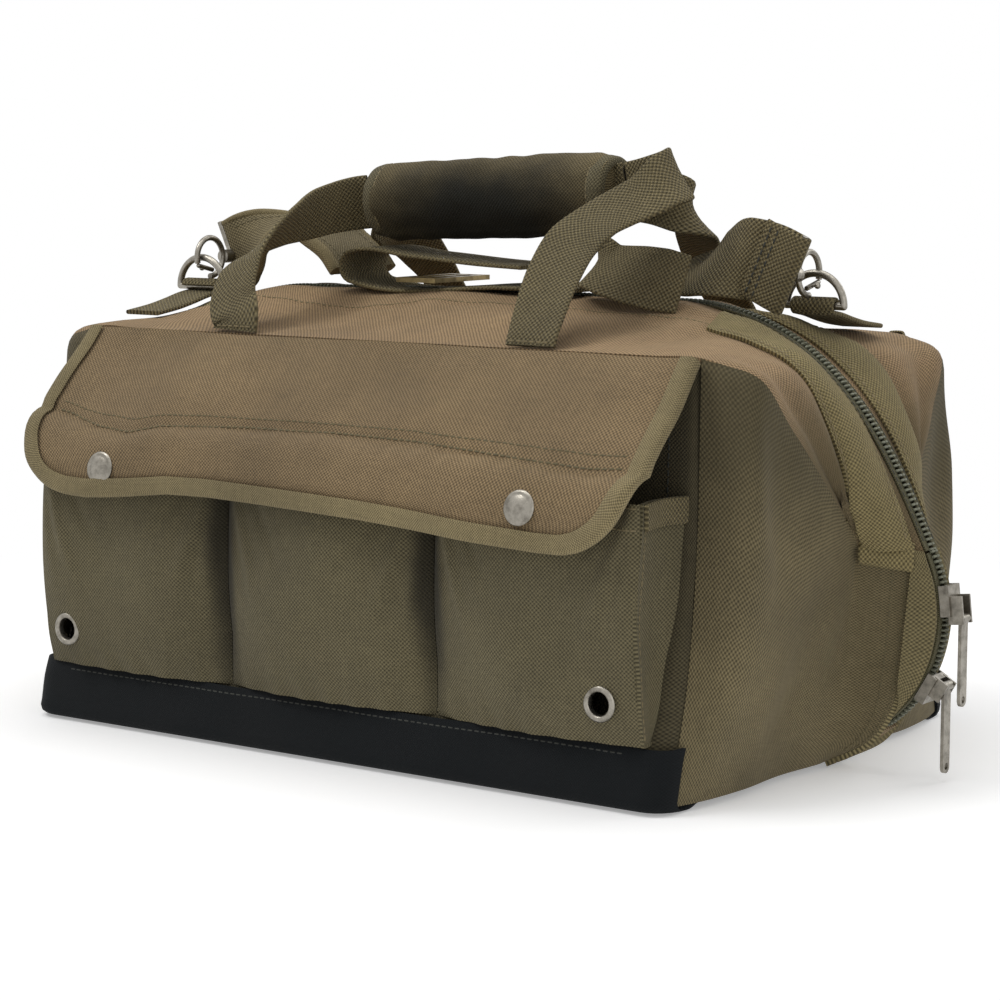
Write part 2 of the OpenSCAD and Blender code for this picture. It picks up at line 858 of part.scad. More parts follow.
module flap_binding() {
    color(binding_colour)
        difference() {
            intersection() {
                flap_slab(0, bind_out);
                flap_outline(0);
            }
            flap_outline(bind_w);
            intersection() {
                flap_slab(bind_t, bind_t + 2 * seat + flap_t);
                flap_outline(bind_w / 3 - seat);
            }
        }
}

flap_tilt = atan2(flap_path[2][0] - flap_path[3][0], flap_path[2][1] - flap_path[3][1]);
function flap_y(z) = mix(flap_path[3][0], flap_path[2][0],
    (z - flap_path[3][1]) / (flap_path[2][1] - flap_path[3][1]));

snap_top_share = 0.62;

module snap_caps() {
    color(nickel_colour)
        both_ends()
            translate([snap_x, flap_y(snap_z), snap_z])
                rotate([90 - flap_tilt, 0, 0])
                    translate([0, 0, bind_t + 2 * seat + flap_t]) {
                        cylinder(d = snap_d, h = snap_t / 2, $fn = 64);
                        translate([0, 0, snap_t / 2])
                            cylinder(d1 = snap_d, d2 = snap_d * snap_top_share, h = snap_t / 2, $fn = 64);
                    }
}

module front_flap() {
    flap();
}

module front_flap_binding() {
    flap_binding();
}

module front_snap_caps() {
    snap_caps();
}

module back_flap() {
    at_back()
        flap();
}

module back_flap_binding() {
    at_back()
        flap_binding();
}

module back_snap_caps() {
    at_back()
        snap_caps();
}

// Snap studs on the pocket faces behind the caps
stud_d = 10;

module snap_studs() {
    u = (snap_x - divider_x) / (pocket_x - divider_x);
    y = max(pocket_y(snap_z - stud_d / 2, 0.5), pocket_y(snap_z, u));
    color(nickel_colour)
        both_sides()
            both_ends()
                translate([snap_x, -y - seat - snap_t / 4, snap_z])
                    cyl_y(stud_d, snap_t / 2);
}

// Zip sliders and their pulls, at the right end
slider_t = 3.2;
ear_t = 1.1;
pin_out = 3.4;
barrel_t = 1.2;
barrel_d = pull_pin_d + 2 * barrel_t;
pin_shares = [-0.6, 0.36];
pin_high = slider_len * pin_shares[0];
pin_low = slider_len * pin_shares[1];
cheek_share = 0.7;
slider_r = fin_zip_r + tape_t + seat;
pin_r = slider_r + slider_t + pin_out;

module slider(along) {
    ear_y = pull_w / 2 + run_gap * 4;
    from = min(along, 0) - barrel_d / 2;
    to = max(along, 0) + barrel_d / 2;
    color(nickel_colour) {
        translate([slider_r, -slider_w / 2, -slider_len / 2])
            cube([slider_t, slider_w, slider_len]);
        both_sides()
            translate([slider_r - tape_t * cheek_share, -slider_w / 2, -slider_len / 2])
                cube([tape_t, slider_w / 2 - tape_w - seat, slider_len]);
        both_sides()
            translate([slider_r + slider_t / 2, ear_y, from])
                cube([pin_r + barrel_d / 2 - slider_r - slider_t / 2, ear_t, to - from]);
        translate([pin_r, 0, along])
            cyl_y(pull_pin_d, 2 * ear_y + ear_t);
    }
}

module on_fin(turn) {
    translate([fin_x, 0, fin_centre_h])
        rotate([0, -turn, 0])
            children();
}

module slider_upper() {
    on_fin(slider_high)
        slider(pin_high);
}

module slider_lower() {
    on_fin(slider_low)
        slider(pin_low);
}

function pin_point(turn, along) =
    [fin_x + pin_r * cos(turn) - along * sin(turn), 0, fin_centre_h + pin_r * sin(turn) + along * cos(turn)];

module pull() {
    tip = pull_len - pull_w / 2;
    color(nickel_colour)
        difference() {
            union() {
                cyl_y(barrel_d, pull_w);
                translate([0, 0, -tip / 2])
                    cube([pull_t, pull_w, tip], center = true);
                translate([0, 0, -tip])
                    cyl_x(pull_w, pull_t);
            }
            cyl_y(pull_pin_d + 2 * run_gap, pull_w + over);
            translate([0, 0, -tip])
                cyl_x(pull_w / 2, pull_t + over);
        }
}

module pull_upper() {
    translate(pin_point(slider_high, pin_high))
        pull();
}

module pull_lower() {
    translate(pin_point(slider_low, pin_low))
        pull();
}

// Handles: two webbing loops through one padded grip
grip_x = grip_len / 2;
grip_shift = 4.5;
slot_deep = 2 * webbing_t + 4 * seat;
slot_high = webbing_w + 2 * seat;
leg_foot_z = fold_h + top_t + 5 * seat;
run_y = webbing_t / 2 + seat;

// Places of a leg from its foot to the grip: share of the way to the grip's end, share of the loop's reach
// outward, and shares of the way in and up. The second table of each leg gives the direction of the webbing's
// width there.
right_front_shares = [[0, 0, 0, 0], [0, 0, 0.02, 0.06], [0, -0.03, 0.1, 0.22], [0, -0.08, 0.255, 0.48],
    [0, -0.04, 0.41, 0.685], [0, 0.17, 0.555, 0.825], [0, 0.46, 0.655, 0.915], [0.3, 0.84, 0.72, 0.98],
    [0.4, 1.15, 0.82, 1.09], [0.4, 1.18, 0.91, 1.125], [0.45, 1, 0.975, 1.115], [0.6, 0.72, 1.01, 1.078],
    [0.8, 0.38, 1.005, 1.03]];
right_front_widths = [[1, 0, 0], [1, 0, 0], [1, 0.1, 0], [0.93, 0.3, 0], [0.9, 0.3, -0.1],
    [0.95, -0.05, -0.25], [0.84, -0.25, -0.45], [0.74, -0.3, -0.58], [0.6, -0.1, -0.8],
    [0.5, 0.15, -0.85], [0.3, 0.05, -0.95], [0.1, 0, -1], [0, 0, -1]];
left_front_shares = [[0, 0, 0, 0], [0, 0, 0.01, 0.1], [0, 0.19, 0.05, 0.22], [0, 0.34, 0.165, 0.47],
    [0, 0.24, 0.35, 0.685], [0.05, 0.23, 0.56, 0.82], [0.1, 0.18, 0.74, 0.9], [0.25, 0.1, 0.885, 0.955],
    [0.6, 0.04, 0.98, 0.99]];
left_front_widths = [[1, 0, 0], [1, 0, 0], [1, 0, 0], [0.98, -0.15, 0.1], [0.73, -0.57, 0.39],
    [0.55, -0.42, 0.72], [0.19, -0.49, 0.85], [0.1, -0.24, 0.96], [0, -0.05, 1]];
right_back_shares = [[0, 0, 0, 0], [0, 0, 0.02, 0.06], [0, 0.03, 0.165, 0.24], [0, 0.14, 0.41, 0.5],
    [0, 0.4, 0.63, 0.68], [0.1, 0.74, 0.78, 0.8], [0.3, 0.86, 0.885, 0.88], [0.55, 0.65, 0.965, 0.95],
    [0.8, 0.32, 0.99, 0.985]];
right_back_widths = [[1, 0, 0], [1, 0, 0], [1, 0, 0], [0.97, -0.1, -0.2], [0.85, -0.2, -0.45],
    [0.6, -0.25, -0.75], [0.3, -0.1, -0.95], [0.1, 0, -1], [0, 0, -1]];
left_back_shares = [[0, 0, 0, 0], [0, 0, 0.02, 0.06], [0, 0.02, 0.12, 0.25], [0, -0.04, 0.32, 0.49],
    [0, -0.12, 0.54, 0.7], [0.05, -0.14, 0.74, 0.83], [0.2, -0.1, 0.88, 0.925], [0.6, 0, 0.97, 0.975]];
left_back_widths = [[1, 0, 0], [1, 0, 0], [1, 0.1, 0.1], [0.8, 0.3, 0.5], [0.5, 0.45, 0.74],
    [0.19, 0.49, 0.85], [0.1, 0.24, 0.96], [0, 0.05, 1]];

function grip_at(x) = grip_z + (x - grip_shift) * tan(grip_tilt);
function leg_path(side, shares) =
    let(end_x = side * grip_x + grip_shift, end = [end_x, -run_y, grip_at(end_x)],
        foot = [side * leg_x, -fold_y + 4 * seat, leg_foot_z])
    concat([for (s = shares) [for (k = [0 : 2]) mix(foot[k], end[k], k == 0 ? s[0] : s[k + 1])
            + (k == 0 ? side * loop_reach * s[1] : 0)]],
        [for (x = [end_x + side * webbing_t, end_x - side * webbing_t]) [x, -run_y, grip_at(x)]]);
function width_dirs(list, side) = concat(list, [for (k = [0, 1]) [0, 0, side]]);
function backward(list) = [for (i = [len(list) - 1 : -1 : 0]) list[i]];

module handle(left_shares, left_widths, right_shares, right_widths) {
    color(webbing_colour)
        ribbon(concat(leg_path(-1, left_shares), backward(leg_path(1, right_shares))),
            concat(width_dirs(left_widths, 1), -backward(width_dirs(right_widths, -1))),
            webbing_w, webbing_t);
}

module front_handle() {
    handle(left_front_shares, left_front_widths, right_front_shares, right_front_widths);
}

module back_handle() {
    at_back()
        handle(left_back_shares, left_back_widths, right_back_shares, right_back_widths);
}

module handle_grip() {
    color(pocket_colour)
        translate([grip_shift, 0, grip_z])
            rotate([0, -grip_tilt, 0])
                difference() {
                    cyl_x(grip_d, grip_len);
                    cube([grip_len + over, slot_deep, slot_high], center = true);
                }
}

// Tabs on the slopes, with a ring in each and a snap hook on each ring
tab_t = 2.2;
tab_w = 2 * (ring_r - ring_wire);
ring_y = 20;
ring_in = 7;
ring_x = fold_x - ring_in;
ring_z = ridge_h - ridge_sag;
bar_len = 2 * ring_r;
tab_loop = ring_wire / 2 + seat + tab_t / 2;
tab_long = 46;
tab_rise = 8.5;
tab_lift = 7.5;
// Shares of the tab's length and rise from its sewn end to the ring
tab_shares = [[0, 0], [0.39, 0.3], [0.61, 0.55], [0.87, 0.88]];
tab_path = [for (s = tab_shares) [ring_x, -ring_y - tab_long * (1 - s[0]),
    fold_h + tab_lift + s[1] * tab_rise]];
tab_turns = [-100, -60, -20, 20, 60, 100, 140, 170];

module tab() {
    loop = [for (a = tab_turns) [ring_x, -ring_y + tab_loop * cos(a), ring_z + tab_loop * sin(a)]];
    color(webbing_colour)
        ribbon(concat(tab_path, loop), [1, 0, 0], tab_w, tab_t);
}

module left_tab() {
    at_left()
        tab();
}

module right_tab() {
    at_back()
        tab();
}

module tab_ring() {
    color(nickel_colour)
        translate([ring_x, -ring_y, ring_z]) {
            cyl_x(ring_wire, bar_len);
            rotate([90, 0, 0])
                rotate_extrude(angle = 180, $fn = 64)
                    translate([ring_r, 0])
                        circle(d = ring_wire, $fn = 32);
            both_ends()
                translate([ring_r, 0, 0])
                    sphere(d = ring_wire, $fn = 32);
        }
}

module left_ring() {
    at_left()
        tab_ring();
}

module right_ring() {
    at_back()
        tab_ring();
}

// Snap hook: a ring in the Y and Z plane that holds the tab ring at its far side
hook_y = -ring_y + hook_r - hook_wire / 2 - ring_wire / 2 - seat;
hook_z = ring_z + ring_r;
full_turn = 360;
gate_from = 205;
gate_to = 285;
nose_from = 268;
gate_thin = 0.6;
gate_d = hook_wire - gate_thin;
gate_root = (gate_d / 2 + seat) / hook_r * 180 / PI;
knob_d = 3;
knob_share = 0.55;
swivel_d = 7;
swivel_len = 6;

module hook_arc(from, to, d) {
    translate([ring_x, hook_y, hook_z])
        rotate([90, 0, 90])
            rotate([0, 0, from])
                rotate_extrude(angle = to - from, $fn = 64)
                    translate([hook_r, 0])
                        circle(d = d, $fn = 32);
}

eye_h = strap_w + 2 * seat;
eye_tilt = 24;
hook_eye_y = hook_y + hook_r + swivel_len + strap_t / 2 + seat;

module snap_hook() {
    color(nickel_colour) {
        hook_arc(nose_from - full_turn, gate_from - gate_root, hook_wire);
        translate([ring_x, hook_y + hook_r + swivel_len / 2, hook_z])
            cyl_y(swivel_d, swivel_len);
        translate([ring_x, hook_eye_y, hook_z])
            rotate([0, eye_tilt, 0])
                cylinder(d = hook_wire, h = eye_h, center = true, $fn = 32);
    }
}

module left_hook() {
    at_left()
        snap_hook();
}

module right_hook() {
    at_back()
        snap_hook();
}

// Gate: a straight rod from its pivot on the hook to the inside of the nose, with a thumb knob
module gate() {
    root = hook_r * [cos(gate_from), sin(gate_from)];
    tip = (hook_r - hook_wire / 2 - gate_d / 2 - seat) * [cos(gate_to), sin(gate_to)];
    long = norm(tip - root);
    color(nickel_colour)
        translate([ring_x, hook_y + root[0], hook_z + root[1]])
            rotate([atan2(tip[1] - root[1], tip[0] - root[0]) - 90, 0, 0]) {
                sphere(d = gate_d, $fn = 32);
                cylinder(d = gate_d, h = long, $fn = 32);
                translate([hook_wire / 2, 0, long * knob_share])
                    cyl_x(gate_d / 2, hook_wire);
                translate([hook_wire, 0, long * knob_share])
                    sphere(d = knob_d, $fn = 32);
            }
}

module left_gate() {
    at_left()
        gate();
}

module right_gate() {
    at_back()
        gate();
}

// Shoulder strap and pad, bunched on the ridge between the hooks
strap_rest = ridge_h + tape_t + 2 * seat;
bar_gap = hook_wire / 2 + seat;
lay_z = strap_rest + strap_t / 2;

// Pad: shares of its reach along X, Y and Z from the left hook, and the turn of its width (90 is level)
pad_reach = 82;
pad_shares = [[0, 0, 0, 0], [0.05, 0, 0.022, 0], [0.17, 0.012, 0.08, 30], [0.3, 0.037, 0.14, 60],
    [0.45, 0.06, 0.2, 78], [0.61, 0.085, 0.21, 86], [0.78, 0.1, 0.11, 90], [0.88, 0.11, 0.04, 90],
    [0.97, 0.11, -0.065, 90]];
pad_level_turn = 60;
function turned(a) = [0, sin(a), cos(a)];

module shoulder_pad() {
    pad_start = [-ring_x + bar_gap, hook_eye_y, hook_z];
    color(canvas_colour)
        ribbon([for (s = pad_shares) pad_start + pad_reach * [s[0], s[1], s[2]]],
            [for (s = pad_shares) turned(s[3])],
            [for (s = pad_shares) mix(strap_w, pad_w, min(s[3] / pad_level_turn, 1))],
            [for (s = pad_shares) mix(strap_t, pad_t, min(s[3] / pad_level_turn, 1))]);
}

// Strap folded on itself along the ridge: shares of the fold's reach and height
fold_r = 8;
fold_reach = 72;
bend_turns = [270, 240, 210, 180, 150, 120, 90];
fold_in_shares = [[0.86, 0], [0.29, 0]];
fold_out_shares = [[-0.5, 1.75], [0.09, 1.38], [0.43, 1.25]];

module strap_fold() {
    bend = [for (a = bend_turns) [-fold_reach + fold_r * cos(a), 0, lay_z + fold_r + fold_r * sin(a)]];
    color(webbing_colour)
        ribbon(concat([for (s = fold_in_shares) [s[0] * fold_reach, 0, lay_z + s[1] * fold_r]], bend,
            [for (s = fold_out_shares) [s[0] * fold_reach, 0, lay_z + s[1] * fold_r]]),
            [0, 1, 0], strap_w, strap_t);
}

// Bight of the strap in front of the ridge: shares of its reach along X, Y and Z, and the turn of its width
loop_z = lay_z + 2 * fold_r;
bight_reach = 50;
bight_shares = [[0.06, -0.08, -0.06, 50], [-0.01, -0.2, -0.06, 50], [0.06, -0.34, -0.07, 50],
    [0.26, -0.42, -0.1, 46], [0.52, -0.44, -0.14, 36], [0.8, -0.43, -0.18, 24], [1.04, -0.4, -0.222, 16]];
bight_share = 0.72;

module strap_loop() {
    color(webbing_colour)
        ribbon([for (s = bight_shares) [fold_reach, 0, loop_z] + bight_reach * [s[0], s[1], s[2]]],
            [for (s = bight_shares) turned(s[3])], strap_w * bight_share, strap_t);
}

// Last run of the strap to the right hook: shares of its reach back from the hook
run_reach = 86;
run_shares = [[0.82, 0.2, -0.02, 70], [0.68, 0.18, 0, 62], [0.49, 0.08, 0.05, 40], [0.25, 0, 0.06, 14],
    [0.05, 0, 0.022, 0], [0, 0, 0, 0]];

module strap_run() {
    run_end = [ring_x - bar_gap, -hook_eye_y, hook_z];
    color(webbing_colour)
        ribbon([for (s = run_shares) run_end + run_reach * [-s[0], s[1], s[2]]],
            [for (s = run_shares) turned(s[3])], strap_w, strap_t);
}

glide_t = 2.4;
glide_len = 24;
glide_bar = 4;
glide_share = 0.4;

module tri_glide() {
    window = (glide_len - 3 * glide_bar) / 2;
    color(brass_colour)
        translate([-fold_reach * glide_share, 0, lay_z + strap_t / 2 + seat + glide_t / 2])
            difference() {
                cube([glide_len, strap_w + 2 * glide_bar, glide_t], center = true);
                for (side = [-1, 1])
                    translate([side * (window + glide_bar) / 2, 0, 0])
                        cube([window, strap_w, glide_t + over], center = true);
            }
}

base_pan();
base_board();
front_wall();
back_wall();
left_end_panel();
right_end_panel();
channel_ends();
left_fin_zip();
right_fin_zip();
zip_end_tabs();
frame_hinges();
front_pocket_left();
front_pocket_mid();
front_pocket_right();
front_pocket_gussets();
front_pocket_hems();
back_pocket_left();
back_pocket_mid();
back_pocket_right();
back_pocket_gussets();
back_pocket_hems();
front_tool_loops();
back_tool_loops();
grommets();
snap_studs();
front_flap();
front_flap_binding();
front_snap_caps();
back_flap();
back_flap_binding();
back_snap_caps();
front_frame();
front_zip_half();
front_top_panel();
front_channel();
back_frame();
back_zip_half();
back_top_panel();
back_channel();
slider_upper();
slider_lower();
pull_upper();
pull_lower();
handle_grip();
front_handle();
back_handle();
left_tab();
right_tab();
left_ring();
right_ring();
left_hook();
right_hook();
left_gate();
right_gate();
shoulder_pad();
strap_fold();
strap_loop();
strap_run();
tri_glide();
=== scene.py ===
"""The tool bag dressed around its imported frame: canvas, webbing, stitching, zip and metal.

Lengths are in millimetres up to make(), which writes metres. The front is toward -y, the sliders toward +x.
"""
import math

import bpy
import numpy as np
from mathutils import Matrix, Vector


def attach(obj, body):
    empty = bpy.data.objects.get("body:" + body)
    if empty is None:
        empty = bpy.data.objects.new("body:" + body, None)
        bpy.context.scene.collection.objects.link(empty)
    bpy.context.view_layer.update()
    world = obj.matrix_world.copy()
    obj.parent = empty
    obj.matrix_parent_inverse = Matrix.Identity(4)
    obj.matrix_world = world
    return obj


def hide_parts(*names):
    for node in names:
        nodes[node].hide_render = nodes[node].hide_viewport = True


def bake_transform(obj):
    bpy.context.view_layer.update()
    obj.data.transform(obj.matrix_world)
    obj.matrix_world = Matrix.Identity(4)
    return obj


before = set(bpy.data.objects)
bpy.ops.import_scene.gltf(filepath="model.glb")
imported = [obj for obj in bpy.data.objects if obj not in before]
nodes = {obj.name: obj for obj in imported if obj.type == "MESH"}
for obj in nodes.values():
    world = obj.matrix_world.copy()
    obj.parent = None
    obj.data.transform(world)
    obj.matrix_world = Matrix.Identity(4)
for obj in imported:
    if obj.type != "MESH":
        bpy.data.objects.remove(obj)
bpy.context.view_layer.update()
MM = 0.001
X, Y, Z = np.eye(3)
QUARTER, TURN = math.pi / 2, 2 * math.pi
# what counts as no length of a direction, and as no step between two points of a line
NO_LENGTH, NO_STEP = 1e-9, 1e-6


# Numbers and curves
def mix(a, b, t):
    return a + (b - a) * t


def unit(v):
    v = np.asarray(v, float)
    return v / np.maximum(np.linalg.norm(v, axis=-1, keepdims=True), NO_LENGTH)


def smooth(x, a, b):
    """Rises from nothing at a to one at b, level at both."""
    t = np.clip((np.asarray(x, float) - a) / (b - a), 0, 1)
    return t * t * (3 - 2 * t)


def hump(x, at, width):
    """A smooth hump of height one."""
    return np.exp(-((x - at) / width) ** 2)


def bow(t, power=1.0):
    """Nothing at 0 and at 1, and one halfway."""
    return np.maximum(np.sin(math.pi * t), 0) ** power


def arc(centre, r, degrees):
    """Points of a circle in its own plane, at the given angles."""
    a = np.radians(degrees)
    return np.stack([centre[0] + r * np.cos(a), centre[1] + r * np.sin(a)], -1)


def lengths(p):
    """Distance along the first axis of a line or grid of points."""
    d = np.linalg.norm(np.diff(p, axis=0), axis=-1)
    while d.ndim > 1:
        d = d.mean(-1)
    return np.concatenate([[0], np.cumsum(np.maximum(d, NO_STEP))])


def read(t, s, p):
    """Values at places t of a row of points p that stand at places s."""
    return np.stack([np.interp(t, s, p[:, k]) for k in range(p.shape[1])], 1)


def spline(points, step=None, at=None):
    """A smooth curve through the points of the first axis, at even steps or at given shares."""
    p = np.asarray(points, float)
    s = lengths(p)
    if at is None:
        at = np.linspace(0, 1, max(int(round(s[-1] / step)), 2) + 1)
    t = np.asarray(at) * s[-1]
    m = np.gradient(p, s, axis=0)
    k = np.clip(np.searchsorted(s, t, side="right") - 1, 0, len(s) - 2)
    shape = (-1,) + (1,) * (p.ndim - 1)
    h = (s[k + 1] - s[k]).reshape(shape)
    x = (t - s[k]).reshape(shape) / h
    return (
        (2 * x**3 - 3 * x**2 + 1) * p[k]
        + (x**3 - 2 * x**2 + x) * h * m[k]
        + (3 * x**2 - 2 * x**3) * p[k + 1]
        + (x**3 - x**2) * h * m[k + 1]
    )


def dense(grid, step):
    """A fine grid of points through a coarse one."""
    g = spline(grid, step)
    return np.swapaxes(spline(np.swapaxes(g, 0, 1), step), 0, 1)


def waves(p, seed, size, count=14):
    """Smooth wandering height of about one, with a given wavelength."""
    rng = np.random.RandomState(seed)
    k = unit(rng.normal(size=(count, 3))) * (TURN / (size * rng.uniform(0.7, 1.7, (count, 1))))
    return np.sin(p @ k.T + rng.uniform(0, 6.28, count)).sum(-1) / math.sqrt(count)


def normals(g):
    """Directions across a grid of points."""
    return unit(np.cross(np.gradient(g, axis=1), np.gradient(g, axis=0)))


def sample(grid, ij):
    """Points of a grid at fractional row and column numbers."""
    i = np.clip(ij[:, 0], 0, grid.shape[0] - 1.001)
    j = np.clip(ij[:, 1], 0, grid.shape[1] - 1.001)
    a, b = i.astype(int), j.astype(int)
    u, v = (i - a)[:, None], (j - b)[:, None]
    return mix(mix(grid[a, b], grid[a, b + 1], v), mix(grid[a + 1, b], grid[a + 1, b + 1], v), u)


def resampled(path, pitch):
    """Points at an even pitch along a line."""
    s = lengths(path)
    return read(np.linspace(0, s[-1], max(int(s[-1] / pitch), 1) + 1), s, path)


# Pieces as arrays: points v, faces f, weave coordinates c and the number m of each face's material
def geo(v, f, c=None, m=0):
    v = np.asarray(v, float)
    return {"v": v, "f": [tuple(x) for x in f], "c": np.zeros_like(v) if c is None else c, "m": [m] * len(f)}


def joined(parts):
    starts = np.cumsum([0] + [len(g["v"]) for g in parts])
    return {
        "v": np.concatenate([g["v"] for g in parts]),
        "f": [tuple(n + k for k in face) for n, g in zip(starts, parts) for face in g["f"]],
        "c": np.concatenate([g["c"] for g in parts]),
        "m": [m for g in parts for m in g["m"]],
    }


def mirrored(g, axis):
    """A piece on the other side of the middle plane across an axis."""
    v = g["v"].copy()
    v[:, axis] *= -1
    return {"v": v, "f": [face[::-1] for face in g["f"]], "c": g["c"], "m": g["m"]}


def both_ways(g, axis):
    """A piece with its mirror image."""
    return joined([g, mirrored(g, axis)])


def quads(rows, cols, wrap=False):
    """Quads of a grid, rows by columns; wrap joins the last column to the first."""
    i, j = np.meshgrid(np.arange(rows - 1), np.arange(cols if wrap else cols - 1), indexing="ij")
    a = i * cols + j
    b = i * cols + (j + 1) % cols
    return np.stack([a, b, b + cols, a + cols], -1).reshape(-1, 4)


def skin(rows, cols, caps=True):
    """Faces through closed rings of points, with or without the two end caps."""
    faces = [tuple(x) for x in quads(rows, cols, wrap=True)]
    if caps:
        faces += [tuple(range(cols))[::-1], tuple(range((rows - 1) * cols, rows * cols))]
    return faces


def cloth_map(g):
    """Weave coordinates of a grid, in metres: across the columns and along the rows."""
    c = np.zeros_like(g)
    c[..., 0] = lengths(np.swapaxes(g, 0, 1)) * MM
    c[..., 1] = lengths(g)[:, None] * MM
    return c.reshape(-1, 3)


def shell(g, thick, m=0, hole=None):
    """A sheet with thickness: g is its outer face and thick runs along the grid's normals."""
    rows, cols = g.shape[:2]
    n = rows * cols
    q = quads(rows, cols)
    if hole is not None:
        q = q[~hole(g.reshape(-1, 3)[q].mean(1))]
    k = np.arange(n).reshape(rows, cols)
    border = np.concatenate([k[0, ::-1], k[1:, 0], k[-1, 1:], k[-2:0:-1, -1]])
    rims = [(a, b, n + b, n + a) for a, b in zip(border, np.roll(border, -1))]
    faces = [tuple(x) for x in q] + [tuple(x[::-1]) for x in q + n] + rims
    if thick > 0:
        faces = [x[::-1] for x in faces]
    inner = g + thick * normals(g)
    return geo(np.concatenate([g, inner]).reshape(-1, 3), faces, np.tile(cloth_map(g), (2, 1)), m)


def loft(rings, c=None, m=0, caps=True):
    """A skin through closed rings of points."""
    rings = np.asarray(rings, float)
    rows, cols = rings.shape[:2]
    if c is None:
        closed = np.concatenate([rings, rings[:, :1]], 1)
        c = cloth_map(closed).reshape(rows, cols + 1, 3)[:, :-1].reshape(-1, 3)
    return geo(rings.reshape(-1, 3), skin(rows, cols, caps), c, m)


def beads(rings, m):
    """Many small closed forms of one kind: for each of them its rings of points."""
    count, rows, cols = rings.shape[:3]
    one = skin(rows, cols)
    faces = [tuple(rows * cols * k + i for i in face) for k in range(count) for face in one]
    return geo(rings.reshape(-1, 3), faces, m=m)


def ribbon(path, across, wide, thick, step, flat_cols=8):
    """Webbing with rounded edges along a smooth path; across, wide and thick may vary along it."""
    path = np.asarray(path, float)
    n = len(path)
    across = np.broadcast_to(np.asarray(across, float), (n, 3))
    wide, thick = [np.broadcast_to(np.asarray(a, float), (n,))[:, None] for a in (wide, thick)]
    s = lengths(path)
    t = np.linspace(0, s[-1], max(int(round(s[-1] / step)), 3) + 1)
    p = spline(path, at=t / s[-1])
    given = read(t, s, np.concatenate([across, wide, thick], 1))
    d = unit(np.gradient(p, axis=0))
    w = unit(given[:, :3] - d * (given[:, :3] * d).sum(1, keepdims=True))
    h = np.cross(d, w)
    half_w, half_t = given[:, 3:4] / 2, given[:, 4:5] / 2
    # the section goes round: share of the flat width, share of the round edge, height
    flat = np.linspace(-1, 1, flat_cols + 1)
    edge = [(math.cos(a), math.sin(a)) for a in np.linspace(-QUARTER, QUARTER, 5)]
    section = [(x, 0, 1) for x in flat[:-1]] + [(1, c, z) for c, z in edge[::-1]]
    section += [(x, 0, -1) for x in flat[::-1][1:-1]] + [(-1, -c, z) for c, z in edge]
    x, turn, high = np.array(section).T
    side = x * (half_w - half_t) + turn * half_t
    rings = p[:, None] + w[:, None] * side[..., None] + h[:, None] * (high * half_t)[..., None]
    cloth = np.stack([side * MM, np.repeat(t[:, None] * MM, len(section), 1), side * 0], -1)
    return loft(rings, cloth.reshape(-1, 3))


def circle(sides):
    """Cosines and sines of even turns, as columns."""
    a = np.linspace(0, TURN, sides, endpoint=False)
    return np.cos(a)[:, None], np.sin(a)[:, None]


def tube(path, radius, m=0, sides=10):
    """A round rod along a path, with a radius for each point."""
    d = unit(np.gradient(path, axis=0))
    w = np.zeros_like(d)
    ref = unit(np.cross(d[0], Z))
    for i in range(len(d)):
        ref = unit(ref - d[i] * (ref @ d[i]))
        w[i] = ref
    c, s = circle(sides)
    return loft(path[:, None] + radius[:, None, None] * (w[:, None] * c + np.cross(d, w)[:, None] * s), m=m)


def lathe(profile, centre, axis, sides=48, m=0, caps=True):
    """A turned form: profile is (radius, height) from one end to the other."""
    axis = unit(axis)
    w = unit(np.cross(axis, Z if abs(axis[2]) < 0.9 else X))
    c, s = circle(sides)
    around = w * c + np.cross(axis, w) * s
    return loft([centre + axis * z + around * r for r, z in profile], m=m, caps=caps)


def stitches(path, normal, d=0.9, m=1, pitch=3.6, long=2.7, lift=0.1):
    """A row of short thread stitches on a line that lies on a surface."""
    path = np.asarray(path, float)
    both = resampled(np.concatenate([path, np.broadcast_to(normal, path.shape)], 1), pitch)
    p, n = both[:, :3], unit(both[:, 3:])
    up = unit(n[1:] + n[:-1])
    mid = (p[1:] + p[:-1]) / 2 + up * lift
    t = unit(p[1:] - p[:-1])
    # a stitch is a little flat and sinks in at its two ends
    c, s = circle(6)
    around = (up[:, None] * c * 0.7 + np.cross(t, up)[:, None] * s) * d / 2
    rings = [(mid + t * long * at)[:, None] + around * full
             for at, full in ((-0.5, 0.35), (-0.34, 0.95), (0.34, 0.95), (0.5, 0.35))]
    return beads(np.stack(rings, 1), m)


def tack(mid, reach, normal):
    """A short row of stitches across a point."""
    return stitches([mid - reach, mid + reach], normal)


def seam(g, ij, flip=1, **kw):
    """Stitches on a grid along a line of fractional rows and columns."""
    ij = np.asarray(ij, float)
    fine = resampled(ij, 0.5) if len(ij) == 2 else ij
    return stitches(sample(g, fine), flip * sample(normals(g), fine), **kw)


# Materials
SHAKE, SHAKE_SCALE, PATCH_SCALE, FADE_SCALE, CRUMPLE_SCALE = 0.0007, 160.0, 16.0, 5.0, 60.0
THREAD_STRETCH = ((900, 90, 1), (90, 900, 1))


def adder(tree):
    """A short call that adds a node to an emptied tree and returns one of its outputs.

    Its inputs come in order, or by their names, which start with a capital; small letters are settings.
    """
    tree.nodes.clear()

    def add(kind, *ins, out=0, **given):
        node = tree.nodes.new("ShaderNode" + kind)
        for key, value in given.items():
            if key[0].islower():
                setattr(node, key, value)
        named = [(key.replace("_", " "), value) for key, value in given.items() if key[0].isupper()]
        for key, value in list(enumerate(ins)) + named:
            if isinstance(value, bpy.types.NodeSocket):
                tree.links.new(value, node.inputs[key])
            elif value is not None:
                node.inputs[key].default_value = value
        return node if out is None else node.outputs[out]

    return add


